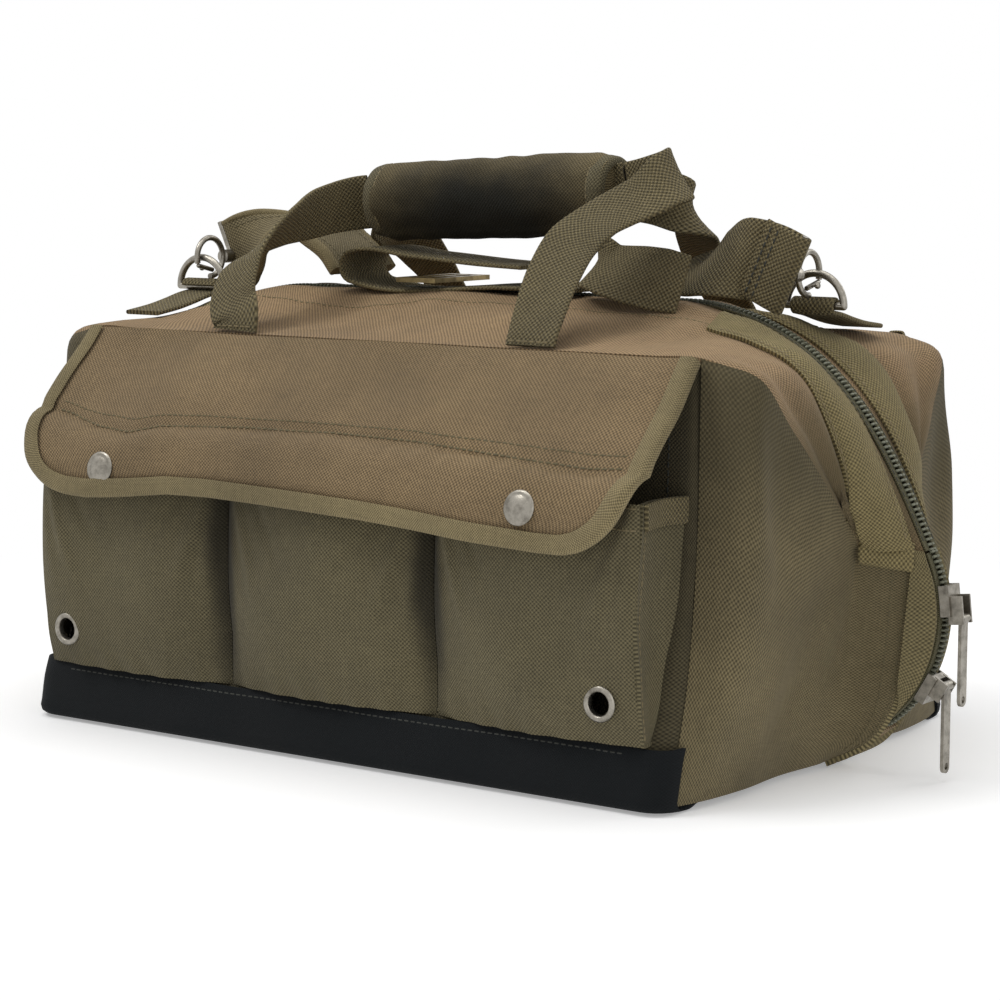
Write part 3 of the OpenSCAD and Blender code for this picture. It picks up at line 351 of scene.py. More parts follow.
def graph(name):
    """An empty material and its call for nodes."""
    mat = bpy.data.materials.new(name)
    mat.use_nodes = True
    return mat, adder(mat.node_tree)


def rgb(hex_code, gain=1.0):
    """Linear colour of a written one."""
    c = [int(hex_code[k:k + 2], 16) / 255 for k in (0, 2, 4)]
    c = [x / 12.92 if x <= 0.04045 else ((x + 0.055) / 1.055) ** 2.4 for x in c]
    return tuple(min(x * gain, 1) for x in c) + (1,)


def noise(add, place, scale, detail, rough=0.5, out=0):
    return add("TexNoise", Vector=place, Scale=scale, Detail=detail, Roughness=rough, out=out)


def spread(add, value, low, high):
    """A noise turned into values from low to high."""
    return add("MapRange", value, 0.3, 0.7, low, high)


def tint(add, amount, first, second):
    """Colour between two others."""
    return add("Mix", amount, *[None] * 5, first, second, out=2, data_type="RGBA")


def surface(add, **named):
    """The last nodes of a material, from the named inputs of its shader."""
    add("OutputMaterial", add("BsdfPrincipled", **named), out=None)


def darkened_round(add, colour, obj, patch, place, size, strength, dark_colour):
    """Colour darkened round a place, the same on the bag's mirrored sides; metres. On the canvas panels this
    is painted shade.
    """
    near = add("VectorMath", obj, operation="ABSOLUTE")
    near = add("VectorMath", near, place, operation="SUBTRACT")
    near = add("VectorMath", near, size, operation="DIVIDE")
    near = add("VectorMath", near, operation="LENGTH", out=1)
    near = add("Math", patch, 0.9, near, operation="MULTIPLY_ADD")
    amount = add("MapRange", near, 0.8, 1.9, strength, 0.0, interpolation_type="SMOOTHSTEP")
    return tint(add, amount, colour, rgb(dark_colour))


def cloth_material(name, colour, pitch=1.9, light=1.62, dark=0.42, bump=0.45, mottle=0.17, rough=0.92,
                   sheen=0.04, darkening=None):
    """Woven fabric: over and under of the threads, slubs, mottling and faded patches."""
    mat, add = graph(name)
    obj = add("TexCoord", out=3)
    laid = add("Attribute", attribute_name="cloth", out=1)
    shake = noise(add, obj, SHAKE_SCALE, 1.0, out=1)
    place = add("VectorMath", shake, (SHAKE, SHAKE, 0), laid, operation="MULTIPLY_ADD")
    split = add("SeparateXYZ", place, out=None)
    thread = [add("Math", split.outputs[axis], TURN / (pitch * MM), operation="MULTIPLY") for axis in (0, 1)]
    weave = add("Math", *[add("Math", arg, operation="SINE") for arg in thread], operation="MULTIPLY")
    long = [add("VectorMath", place, scale, operation="MULTIPLY") for scale in THREAD_STRETCH]
    slubs = add("Math", *[noise(add, way, 1.0, 2.0) for way in long], operation="ADD")
    patch = noise(add, obj, PATCH_SCALE, 4.0, 0.6)
    fade = noise(add, obj, FADE_SCALE, 2.0)
    level = add("Math", weave, 0.55, 0.68, operation="MULTIPLY_ADD")
    level = add("Math", slubs, 0.36, level, operation="MULTIPLY_ADD")
    level = add("Math", level, 0.54, operation="SUBTRACT", use_clamp=True)
    tone = tint(add, level, rgb(colour, dark), rgb(colour, light))
    blotch = spread(add, patch, 1 - mottle, 1 + mottle)
    worn = spread(add, fade, 1 - mottle * 0.7, 1 + mottle * 0.7)
    gain = add("Math", blotch, worn, operation="MULTIPLY")
    final = add("VectorMath", tone, Scale=gain, operation="SCALE")
    # painted shade: the colour is darkened round a given place
    if darkening:
        final = darkened_round(add, final, obj, patch, *darkening)
    height = add("Math", slubs, 0.5, weave, operation="MULTIPLY_ADD")
    height = add("Math", noise(add, obj, CRUMPLE_SCALE, 3.0), 2.5, height, operation="MULTIPLY_ADD")
    surface(add, Base_Color=final, Roughness=spread(add, patch, rough - 0.06, min(rough + 0.05, 1)),
            Normal=add("Bump", Strength=bump, Distance=pitch * 0.25 * MM, Height=height),
            Sheen_Weight=sheen, Sheen_Roughness=0.6, Specular_IOR_Level=0.25)
    return mat


def metal_material(name, colour, darkening, rough=0.32, wear=0.5):
    """Plated metal with a darker patina, fine scratches and uneven polish."""
    mat, add = graph(name)
    obj = add("TexCoord", out=3)
    cloud = noise(add, obj, 220.0, 5.0, 0.65)
    amount = add("MapRange", cloud, 0.42, 0.68, 0.0, wear)
    surface(add, Base_Color=tint(add, amount, rgb(colour), rgb(darkening)), Metallic=1.0,
            Roughness=spread(add, cloud, rough - 0.08, rough + 0.18),
            Normal=add("Bump", Strength=0.12, Distance=0.0002, Height=noise(add, obj, 1400.0, 2.0)))
    return mat


def plain_material(name, colour, rough=0.8, scale=900.0, mottle=0.2, bump=0.2):
    """Thread, teeth and board: a noisy colour with a fine grain."""
    mat, add = graph(name)
    grain = noise(add, add("TexCoord", out=3), scale, 3.0)
    gain = spread(add, grain, 1 - mottle, 1 + mottle)
    surface(add, Base_Color=add("VectorMath", rgb(colour)[:3], Scale=gain, operation="SCALE"),
            Roughness=spread(add, grain, rough - 0.1, rough + 0.1),
            Normal=add("Bump", Strength=bump, Distance=0.0003, Height=grain))
    return mat


# each darkening: its place and its size in metres, its strength and its colour; on the panels it is painted
# shade
CANVAS = cloth_material("canvas", "7f6c50")
# the walls' canvas is painted dark, as painted shade where the walls show beside the pockets and under the
# flap
SHADED_WALL = cloth_material("wall_canvas", "453f2e")
# the end canvas is painted darker than the slope canvas, as painted shade, with more painted shade in the
# hollow between the crease and the channel
SIDE = cloth_material("side_canvas", "695f46", darkening=((0.2, 0.07, 0.17), (0.04, 0.06, 0.055), 0.6, "453f2d"))
# the slope canvas is painted lighter than the end canvas, as painted light from above, with painted shade in
# the hollow beside the channel's end
SLOPE = cloth_material("slope_canvas", "8f785a",
                       darkening=((0.222, 0.035, 0.125), (0.04, 0.06, 0.05), 0.85, "5d543d"))
FIN = cloth_material("fin_canvas", "756b4d")
# painted shade in the valleys at the pockets' dividers
POCKET = cloth_material("pocket_canvas", "5d5640",
                        darkening=((0.061, 0.14, 0.1), (0.009, 0.1, 0.075), 0.8, "1d1a12"))
# the grip is darker round the middle of its length and low on it
SLEEVE = cloth_material("sleeve_canvas", "6a5f45", sheen=0.0,
                        darkening=((0.0, 0.012, 0.247), (0.07, 0.04, 0.034), 0.96, "060805"))
BINDING = cloth_material("binding", "7c7052", pitch=1.3, bump=0.4)
WEBBING = cloth_material("webbing", "6c6247", pitch=2.3, bump=0.9, light=1.7, dark=0.38)
BLACK = cloth_material("black_fabric", "0b0e10", pitch=1.4, light=1.6, dark=0.6, bump=0.25, sheen=0.0)
STRIP = cloth_material("channel_webbing", "7f7350", pitch=2.0, bump=0.6)
TAPE = cloth_material("zip_tape", "57533c", pitch=1.0, bump=0.3)
TEETH = plain_material("zip_teeth", "6b6c5a", rough=0.6, scale=400.0)
THREAD = plain_material("thread", "7d7052")
THREAD_SEAM = plain_material("thread_seam", "635a40", rough=0.85)
THREAD_DARK = plain_material("thread_dark", "33342f")
BOARD = plain_material("board", "3a3a36", scale=300.0)
NICKEL = metal_material("nickel", "9a958b", "3b362c")
STEEL = metal_material("steel", "8d8f8e", "55514a", rough=0.38, wear=0.3)
BRASS = metal_material("brass", "857552", "33291a")


# Objects
SHARP_ANGLE = math.radians(48)


def make(name, g, mats, stands, body="bag", blend=None):
    """A piece of the bag: it rides a body, or with a blend stays fixed where it is, and stands for a node of
    the frame.
    """
    mesh = bpy.data.meshes.new(name)
    mesh.from_pydata((g["v"] * MM).tolist(), [], g["f"])
    for mat in mats:
        mesh.materials.append(mat)
    mesh.polygons.foreach_set("material_index", g["m"])
    mesh.polygons.foreach_set("use_smooth", [True] * len(g["f"]))
    mesh.attributes.new("cloth", "FLOAT_VECTOR", "POINT").data.foreach_set("vector", g["c"].ravel())
    mesh.update()
    mesh.set_sharp_from_angle(angle=SHARP_ANGLE)
    obj = bpy.data.objects.new(name, mesh)
    bpy.context.scene.collection.objects.link(obj)
    if blend:
        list(blend)
        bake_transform(obj)
    else:
        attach(obj, body)
    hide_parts(stands)
    return obj


def pair(name, g, mats, stands, axis=1, names=("front", "back"), bodies=("bag", "bag"),
         blends=(None, None)):
    """The same piece on both sides; a star holds the place of the side's name."""
    for side, one, body, blend in zip(names, (g, mirrored(g, axis)), bodies, blends):
        make(name.replace("*", side), one, mats, stands.replace("*", side), body, blend)


def finish(name, mat):
    """A node that keeps its CAD shape gets its material."""
    nodes[name].data.materials.clear()
    nodes[name].data.materials.append(mat)


# The bag's own sizes; the fold is where the walls bend in to the mouth
HALF_LEN, HALF_DEP = 187, 134
FOLD_X, FOLD_Y, FOLD_H, RIDGE_H = 178, 92, 191, 211
WALL_T, TOP_T, POCKET_T, WALL_FOOT, WALL_IN = 2.4, 1.8, 1.6, 2.7, 1.2
CORNER_R, CORNER_TOP_R = 14, 4.5
BAND_H, BAND_T, BAND_OUT, BAND_R, BAND_RISE = 28, 2.4, 2.9, 13, 2.2
# the band's section: heights down the wall, points (in, z) round the foot, places (y, z) under the bag
BAND_SIDE, BAND_FOOT, BAND_UNDER = (BAND_H, 21, 14, 8), ((-2, 3.5), (1, 0.9), (6, 0.1)), [(100, 0), (60, 0)]
# the wall's way in from the base to the fold: share of the height, share of the way
WALL_SHARES = np.array([[0, 0], [0.1, 0.1], [0.21, 0.32], [0.385, 0.59], [0.56, 0.77], [0.76, 0.88], [1, 1]])


def wall_y(z):
    """Distance of the walls from the middle plane at a height."""
    way = np.interp(np.asarray(z, float) / FOLD_H, WALL_SHARES[:, 0], WALL_SHARES[:, 1])
    return mix(HALF_DEP, FOLD_Y, way)


def corner_r(z):
    """Radius of the rounded upright corners, widest at the base."""
    return mix(CORNER_R, CORNER_TOP_R, smooth(z, 5, 110))


def seam_x(z):
    """Half the walls' length at a height."""
    return mix(HALF_LEN, FOLD_X, np.asarray(z) / FOLD_H)


def turned_line(half, r, angle, steps, count):
    """Places (x, in) along the bag: straight, with both ends turned in on a radius."""
    right = [(half - r + r * math.sin(a), r * (1 - math.cos(a))) for a in np.linspace(0, angle, steps)[1:]]
    flat = [(x, 0) for x in np.linspace(r - half, half - r, count)]
    return np.array([(-x, y) for x, y in right[::-1]] + flat + right)


# Base and walls
def base():
    """Black coated band: down the walls, under the bag and turned in round the corners."""
    half = [(wall_y(z) + BAND_OUT, z) for z in BAND_SIDE] + [(HALF_DEP - d, z) for d, z in BAND_FOOT]
    half += BAND_UNDER
    path = spline([(0, y, z) for y, z in half + [(0, 0)] + [(-y, z) for y, z in half[::-1]]], 3.0)
    line = turned_line(HALF_LEN, BAND_R, QUARTER, 7, 104)
    g = np.repeat(path[:, None], len(line), 1)
    g[..., 0] = line[:, 0]
    side = np.sign(g[..., 1])
    upright = smooth(np.abs(g[..., 1]), 100, HALF_DEP)
    g[..., 1] -= side * upright * line[:, 1]
    g[..., 2] += BAND_RISE * smooth(np.abs(g[..., 0]), 150, HALF_LEN) * (1 - upright)
    g[..., 1] += side * 0.5 * waves(g, 3, 42) * smooth(g[..., 2], 3, 18)
    g[..., 2] += 0.5 * waves(g, 4, 55) * smooth(g[..., 2], BAND_H - 6, BAND_H)
    g = g[:, ::-1]
    sew = [seam(g, [(i, 9), (i, len(line) - 10)], d=0.8) for i in (1.2, len(path) - 2.2)]
    make("base_band", joined([shell(g, BAND_T)] + sew), [BLACK, THREAD_DARK], "base_pan")
    finish("base_board", BOARD)


def walls():
    """Canvas of the two long sides, sewn near its upright edges."""
    zs = np.linspace(WALL_FOOT, FOLD_H, 66)
    rows = []
    for z in zs:
        line = turned_line(float(seam_x(z)) - WALL_IN, float(corner_r(z)), 1.25, 6, 130)
        rows.append([(x, y - float(wall_y(z)), z) for x, y in line])
    g = np.array(rows)
    g[..., 1] += waves(g, 5, 60) * 0.25
    sew = [seam(g, [(2, j), (len(zs) - 2, j)]) for j in (8.5, g.shape[1] - 9.5)]
    # the walls take the canvas that is painted dark with shade
    pair("*_wall_canvas", joined([shell(g, -WALL_T)] + sew), [SHADED_WALL, THREAD_DARK], "*_wall")


# Pockets and tool loops
POCKET_X, DIVIDER_X, POCKET_FOOT, POCKET_H = 175, 61, 28.3, 134
POCKET_OUT, POCKET_DEEP, SIDE_SHARE = 20, 17, 0.5
OFF_WALL, BETWEEN, PLEAT, FLOOR_T = 0.6, 0.15, 17, 1.5
HEM_H, HEM_W, HEM_T = 128, 12, 1.8
POCKETS = (("left", -POCKET_X, -DIVIDER_X), ("mid", -DIVIDER_X, DIVIDER_X), ("right", DIVIDER_X, POCKET_X))
# share of the pocket's height, share of its distance out
BULGE_SHARES = [[0, 0.45], [0.2, 0.85], [0.5, 1], [0.8, 0.92], [1, 0.7]]
# creases from the top of a pocket's side: place and lean in shares, depth
CREASES = ((0.05, 0.35, 2.4), (0.16, 0.6, -1.8), (0.02, 0.12, 1.6))
GROMMET_X, GROMMET_Z, GROMMET_HOLE, GROMMET_CALM = 157, 47, 6.6, 13
GROMMET_PROFILE = [(5.2, -2.4), (5.2, 0.2), (5.6, 0.95), (6.4, 1.25), (7.3, 1.05), (8.0, 0.45), (8.1, 0.1),
                   (7.4, -0.4), (6.2, -0.5), (6.2, -2.2), (5.2, -2.4)]


def pocket_share(z):
    """Share of a pocket's height."""
    return (z - POCKET_FOOT) / (POCKET_H - POCKET_FOOT)


def draw(x):
    """How far a pocket draws in at its side: less at the outer sides, which the gussets hold out."""
    return SIDE_SHARE if abs(x) == POCKET_X else 1


def pocket_y(z, u, first=1.0, last=1.0):
    """Distance of a pocket's face from the middle plane, u of the way along it."""
    curve = spline(BULGE_SHARES, at=np.linspace(0, 1, 80))
    off = POCKET_OUT * np.interp(pocket_share(z), curve[:, 0], curve[:, 1])
    deep = np.minimum(off - OFF_WALL, POCKET_DEEP) * mix(first, last, smooth(u, 0.1, 0.9))
    return wall_y(POCKET_FOOT) + off - deep * (1 - bow(u, 0.85))


def pocket(x0, x1, seed):
    """A bulged, gathered pocket face with its two hem seams; the outer pockets have a drain hole."""
    even = np.linspace(0, 1, 64)
    u, z = np.meshgrid(((1 - np.cos(math.pi * even)) / 2 + even) / 2, np.linspace(POCKET_FOOT, POCKET_H, 58))
    s = pocket_share(z)
    x = mix(x0 + BETWEEN, x1 - BETWEEN, u)
    g = np.stack([x, -pocket_y(z, u, draw(x0), draw(x1)), z], -1)
    inner = bow(u, 0.6)
    form = 0.9 * np.sin(TURN * x / PLEAT + 1.3 * waves(g, seed + 1, 60)) * np.exp(-s / 0.09) * inner
    form += 2.6 * waves(g, seed, 70) * inner * bow(np.clip(s * 0.9 + 0.05, 0, 1))
    form += 1.1 * hump(u, 0.5, 0.2) * bow(s)
    for end in (u, 1 - u):
        for start, lean, deep in CREASES:
            line = end - start - lean * (0.92 - s)
            form += deep * hump(line, 0, 0.035) * smooth(s, 0.3, 0.7) * smooth(end, 0.5, 0.1)
    side = int(np.sign(x0 + x1))
    calm = 1 - hump(np.hypot(x - side * GROMMET_X, z - GROMMET_Z), 0, GROMMET_CALM) * abs(side)
    g[..., 1] -= np.clip(form - 0.6, -4.2, 2.6) * calm
    # the canvas turns in under the pocket
    under = [g[0] + [0, dy, dz] for dy, dz in ((6.5, 0.35), (3.2, 0.05), (1.1, -0.1))]
    g = np.concatenate([under, g])

    def hole(p):
        return np.hypot(p[:, 0] - side * GROMMET_X, p[:, 2] - GROMMET_Z) < GROMMET_HOLE

    sew = [seam(g, [(i, 1), (i, 62)]) for i in (len(g) - 7, len(g) - 2)]
    return joined([shell(g, -POCKET_T, hole=hole if side else None)] + sew)


def pocket_faces():
    for k, (part, x0, x1) in enumerate(POCKETS):
        pair("*_pocket_%s_canvas" % part, pocket(x0, x1, 20 + 7 * k), [POCKET, THREAD],
             "*_pocket_" + part)


def pocket_sides():
    """Gussets and dividers between pocket and wall, and the pockets' floor."""
    zs, w = np.linspace(POCKET_FOOT, POCKET_H, 40), np.linspace(0, 1, 12)
    parts = []
    for k, x in enumerate((-POCKET_X, -DIVIDER_X, DIVIDER_X, POCKET_X)):
        outer = abs(x) == POCKET_X
        front = pocket_y(zs, 0, draw(x)) - (0.3 if outer else 2.2)
        y = -mix(front[:, None], (wall_y(zs) + 0.3)[:, None], w)
        g = np.stack([np.full_like(y, x), y, np.repeat(zs[:, None], len(w), 1)], -1)
        dent = -3.2 * bow(w) * smooth(zs, 30, 60)[:, None] * (1 if outer else 0.3)
        g[..., 0] += np.sign(x) * (dent + 0.5 * waves(g, 50 + k, 40))
        if x < 0:
            g = g[:, ::-1]
        parts.append(shell(g, -POCKET_T))
        if outer:
            parts.append(seam(g, [(1, 1.5), (len(zs) - 2, 1.5)]))
    front, back = float(pocket_y(POCKET_FOOT, 0)) - 0.3, float(wall_y(POCKET_FOOT)) + 0.4
    xs = np.linspace(1 - POCKET_X, POCKET_X - 1, 60)
    floor = [[(x, -mix(front, back, s), POCKET_FOOT + 1.8) for x in xs] for s in np.linspace(0, 1, 8)]
    parts.append(shell(np.array(floor), -FLOOR_T))
    pair("*_pocket_sides", joined(parts), [POCKET, THREAD], "*_pocket_gussets")


def pocket_hems():
    """Webbing over the top edges of the outer gussets."""
    y0, y1 = 1.2 - float(pocket_y(POCKET_H, 0, SIDE_SHARE)), -0.5 - float(wall_y(POCKET_H))
    hems = []
    for s in (-1, 1):
        out, dent = s * (POCKET_X + 0.9), s * (POCKET_X - 1.6)
        path = [(out, y0, HEM_H), (dent, mix(y0, y1, 0.5), HEM_H + 0.3), (out, y1, HEM_H)]
        hems.append(ribbon(path, Z, HEM_W, HEM_T, 2))
    pair("*_pocket_hem_webbing", joined(hems), [WEBBING], "*_pocket_hems")


LOOP_SPAN, LOOP_H, LOOP_COUNT, LOOP_W, LOOP_T = 167, 171, 5, 14, 1.6
# bar tacks: half their height, and how far they stand from a loop's end
TACK_H, TACK_X = 5.5, 1.5
LOOP_FORM = ((-29.5, 0), (-25, 1.2), (-15, 4.9), (0, 6.4), (15, 4.9), (25, 1.2), (29.5, 0))


def tool_loops():
    """Webbing that stands out in loops between its bar tacks, under the flap."""
    pitch = 2 * LOOP_SPAN / LOOP_COUNT
    face = -0.9 - float(wall_y(LOOP_H - 7))
    middles = [pitch * (k + 0.5) - LOOP_SPAN for k in range(LOOP_COUNT)]
    line = [(-LOOP_SPAN, 0)] + [(c + x, out) for c in middles for x, out in LOOP_FORM] + [(LOOP_SPAN, 0)]
    strip = ribbon([(x, face - out, LOOP_H) for x, out in line], Z, LOOP_W, LOOP_T, 2)
    tacks = [pitch * k - LOOP_SPAN + d for k in range(1, LOOP_COUNT) for d in (-TACK_X, TACK_X)]
    bars = [tack(np.array([x, face - LOOP_T / 2, LOOP_H]), Z * TACK_H, -Y)
            for x in [2 - LOOP_SPAN] + tacks + [LOOP_SPAN - 2]]
    pair("*_tool_loop_webbing", joined([strip] + bars), [WEBBING, THREAD], "*_tool_loops")


def grommets():
    """Open rings low on the outer pockets."""
    u = (GROMMET_X - DIVIDER_X) / (POCKET_X - DIVIDER_X)
    face = -0.35 - float(pocket_y(GROMMET_Z, u, 1, SIDE_SHARE))
    ring = lathe(GROMMET_PROFILE, (GROMMET_X, face, GROMMET_Z), -Y, caps=False)
    make("drain_grommets", both_ways(both_ways(ring, 0), 1), [NICKEL], "grommets")


# Flap: its cut shape, its section (y, z) from the fold down, the lift of its lower edge and its seam
FLAP_X, FLAP_LOW, FLAP_R, FLAP_T, FLAP_OUT, BIND_W, BIND_T = 178, 112, 38, 2.0, 3.1, 7.6, 0.95
FLAP_PATH = [(-92.6, 191), (-106.5, 176.5), (-119.9, 162.0), (-132.4, 149.0), (-141.2, 139.5),
             (-145.6, 132.5), (-147.3, 124), (-148.0, 112), (-148.3, 106)]
FLAP_RISE = np.array([(-178, 3), (-148, 5), (-129, 4.5), (-110, 6), (-81, 9.3), (-56, 9.8), (-32, 9.1),
                      (2, 7.9), (35, 6.5), (67, 4.2), (99, 1.8), (129, 0), (178, 0)])
FLAP_SEAM = np.array([(-178, 156), (-158, 153.3), (-135, 148.5), (-114, 147.2), (-96, 151), (-47, 153),
                      (4, 153.6), (53, 152.8), (102, 150), (149, 147.4), (178, 149)])
BIND_SECTION = [(1, 3.95), (0.9, 4.4), (0.63, 4.6), (0.37, 4.6), (0.17, 4.4), (0.05, 3.7), (0.005, 2.3),
                (0.05, 0.9), (0.17, 0.2), (0.37, 0), (0.63, 0), (1, 0.2)]
FLAP_BODIES = ("front_flap_panel", "back_flap_panel")
# for each flap two bodies and two points, over the cloth's first few millimetres, where it is sewn to the
# fold; metres
FLAP_BLENDS = [("bag", name, (0, y * 0.0929, 0.1918), (0, y * 0.0985, 0.1838))
               for name, y in zip(FLAP_BODIES, (-1, 1))]
SNAP_X, SNAP_H, SNAP_OUT, SNAP_SINK = 121.6, 129.55, 3.2, 0.2
SNAP_PROFILE = [(0.01, 0.1), (7.75, 0.1), (7.9, 0.5), (7.5, 1.05), (6.6, 1.25), (6.1, 1.05), (5.5, 1.25),
                (4.2, 1.75), (2.4, 2.05), (0.01, 2.15)]


def flap_section(z):
    """Inner face of the flap and its outward direction at heights z."""
    count = 200
    p = spline([(0, y, h) for y, h in FLAP_PATH], at=np.linspace(0, 1, count))
    t = unit(np.gradient(p, axis=0))
    out = np.stack([t[:, 0] * 0, t[:, 2], -t[:, 1]], 1)
    k = np.arange(count)
    at = np.interp(-np.asarray(z, float), -p[:, 2], k)
    return read(at, k, p), unit(read(at, k, out))


def flap_place(x, z, d):
    """Points of the flap, d out from its inner face, and its outward directions there."""
    z = z + np.interp(x, FLAP_RISE[:, 0], FLAP_RISE[:, 1]) * (1 - smooth(z, FLAP_LOW, 165))
    p, n = flap_section(z.ravel())
    p = (p + n * d).reshape(x.shape + (3,))
    p[..., 0] = x
    return p, n.reshape(p.shape)


def flap_shape(p):
    """How far the cloth of the flap stands out or sags at a point."""
    x, z = p[..., 0], p[..., 2]
    puff = 1.4 * bow(np.clip((186 - z) / 60, 0, 1)) * (1 - (np.abs(x) / 185) ** 4)
    fold = waves(p, 61, 95) * 1.3 + waves(p, 62, 34) * 0.4
    free = 1 - np.exp(-(FOLD_H - z) / 7)
    below = np.interp(x, FLAP_SEAM[:, 0], FLAP_SEAM[:, 1]) - z
    facing = 1.5 * hump(below, 8, 6) - 1.9 * hump(below, 0.8, 2.2)
    pucker = 0.35 * waves(p * [1, 0.2, 0.2], 63, 9) * hump(below, 2, 5)
    return puff + fold * free + facing + pucker - 0.4


def flap_canvas():
    """Cloth of the flap, rounded at its lower corners, and the double seam of its facing."""
    inset = BIND_W / 3
    r, x, low = FLAP_R - inset, FLAP_X - inset, FLAP_LOW + inset
    rows = [(z, x) for z in np.linspace(FOLD_H, low + r, 26)[:-1]]
    rows += [(low + r - r * math.sin(a), x - r + r * math.cos(a)) for a in np.linspace(0, QUARTER, 22)]
    z, half = np.array(rows).T[..., None]
    xs = half * np.linspace(-1, 1, 150)
    g = flap_place(xs, z + xs * 0, FLAP_OUT)[0]
    out = normals(g)
    out = out * np.sign(-out[..., 1:2])
    g = (g + out * flap_shape(g)[..., None])[::-1]
    line = []
    for j in range(4, g.shape[1] - 4):
        height = np.interp(g[20, j, 0], FLAP_SEAM[:, 0], FLAP_SEAM[:, 1])
        line.append((np.interp(height, g[:, j, 2], np.arange(len(g))), j))
    flip = np.sign(-normals(g)[20, 70, 1])
    sew = [seam(g, [(i + up, j) for i, j in line], flip, d=d) for up, d in ((0, 1.0), (2.2, 0.8))]
    pair("*_flap_canvas", joined([shell(g, -FLAP_T)] + sew), [CANVAS, THREAD_SEAM], "*_flap",
         blends=FLAP_BLENDS)


def flap_binding():
    """Binding folded round the two sides and the lower edge of the flap."""
    r, x, low, top = FLAP_R, FLAP_X, FLAP_LOW, FOLD_H - 0.5
    down = [(x, z) for z in np.linspace(top, low + r, 24)[:-1]]
    down += [(x - r + r * math.cos(a), low + r - r * math.sin(a)) for a in np.linspace(0, QUARTER, 22)]
    flat = [(across, low) for across in np.linspace(r - x, x - r, 90)[1:-1]]
    edge = np.concatenate([np.array(down) * [-1, 1], flat, down[::-1]])
    along = unit(np.gradient(edge, axis=0))
    inward = np.stack([-along[:, 1], along[:, 0]], 1)

    def placed(share, d):
        at = edge + inward * BIND_W * share
        p, n = flap_place(at[:, 0], at[:, 1], d)
        return p + n * flap_shape(p)[:, None], n

    bind = shell(np.stack([placed(share, d)[0] for share, d in BIND_SECTION], 1), BIND_T)
    sew = stitches(*placed(0.8, 4.6), d=0.8)
    pair("*_flap_edge", joined([bind, sew]), [BINDING, THREAD], "*_flap_binding",
         blends=FLAP_BLENDS)


def snap_domes():
    """Snap caps on the flap."""
    p, n = [a[0] for a in flap_section([SNAP_H])]
    caps = []
    for s in (-1, 1):
        c = p + n * SNAP_OUT + X * s * SNAP_X
        caps.append(lathe(SNAP_PROFILE, c + n * (flap_shape(c) - SNAP_SINK), n))
    pair("*_snap_domes", joined(caps), [NICKEL], "*_snap_caps", bodies=FLAP_BODIES)


# Mouth: the ridge and the zip's line down over the ends (x, z), the ear and the crease down from it
RIDGE_LINE = [(0, RIDGE_H), (58.7, 210.67), (99.7, 210)]
MOUTH_START, MOUTH_END = np.array([99.68, 210.0]), np.array([242.4, 104.0])
EAR, CREASE_END = np.array([204.0, -88, 185]), np.array([214.5, -18, 106])
CREASE = np.array([mix(EAR, CREASE_END, s) + 16 * s * (1 - s) * (X - Z) for s in (0, 0.28, 0.55, 0.8, 1)])
LIP_Y, FOLD_R, SLEEVE_W, CHANNEL_X, CHANNEL_T, TAPE_T, TAPE_UP = 5.5, 9.0, 26, 138, 1.8, 0.8, 1.2
# rows of the slope's coarse grid that end at the corner, the ear and the crease's points below it
CREASE_ROWS = [13, 14, 15, 17, 18]
# columns of a zip tape beside its middle line
TAPE_Y = (-4.6, -3.2, -1.9)
# a tooth: rings out from the middle (y, half length, half height) and their outline
TOOTH = ((-0.15, 0.55, 0.85), (-1.2, 0.85, 1.05), (-2.3, 0.7, 0.85), (-2.9, 0.45, 0.5))
TOOTH_SHARES = ((-1, -0.5), (-0.6, 0.9), (0.6, 0.9), (1, -0.5), (0.6, -1), (-0.6, -1))
# soft folds beside the channel: place across the slope, height and width
SLOPE_FOLDS = ((0.22, -2.6, 0.09), (0.42, 1.8, 0.1), (0.6, -1.8, 0.07))
SLACK, SLEEVE_RISE, FRAME_RISE = 2.2, 1.3, 1.6
# for each half of the mouth two bodies and the span from the fold toward the frame; metres
MOUTH_BLENDS = (("bag", "front_mouth", (0, -0.088, 0.185), (0, -0.0314, 0.2114)),
                ("bag", "back_mouth", (0, 0.088, 0.185), (0, 0.0314, 0.2114)))


def mouth(t):
    """The zip's line over the right end, as one curve."""
    a, d = MOUTH_START, MOUTH_END
    b = np.array([mix(a[0], d[0], 0.625), 215])
    c = np.array([mix(a[0], d[0], 0.845), mix(d[1], RIDGE_H, 0.43)])
    t = np.asarray(t, float)[..., None]
    return a * (1 - t) ** 3 + 3 * b * t * (1 - t) ** 2 + 3 * c * t * t * (1 - t) + d * t**3


def top_rows():
    """Coarse grid of the front slope: from the fold and the crease up to the lip beside the zip."""
    feet = [(x, -91.4, 193.1) for x in [FOLD_X * s for s in (0, 0.33, 0.62, 0.85)] + [177.7]]
    feet = np.concatenate([feet, CREASE + [0, 1.1, 2.2]])
    lips = np.concatenate([RIDGE_LINE, mouth([0.1, 0.3, 0.46, 0.6, 0.74, 0.88, 1])])
    rows = []
    for f, (x, z) in zip(feet, lips):
        lip = np.array([x, -LIP_Y, z])
        edge = mix(lip, f, min(SLEEVE_W / np.linalg.norm(f - lip), 0.9))
        rows.append([f, mix(f, edge, 0.5), edge, mix(edge, lip, 0.5), lip])
    half = np.array(rows)
    return np.concatenate([half[:0:-1] * [-1, 1, 1], half], 0)


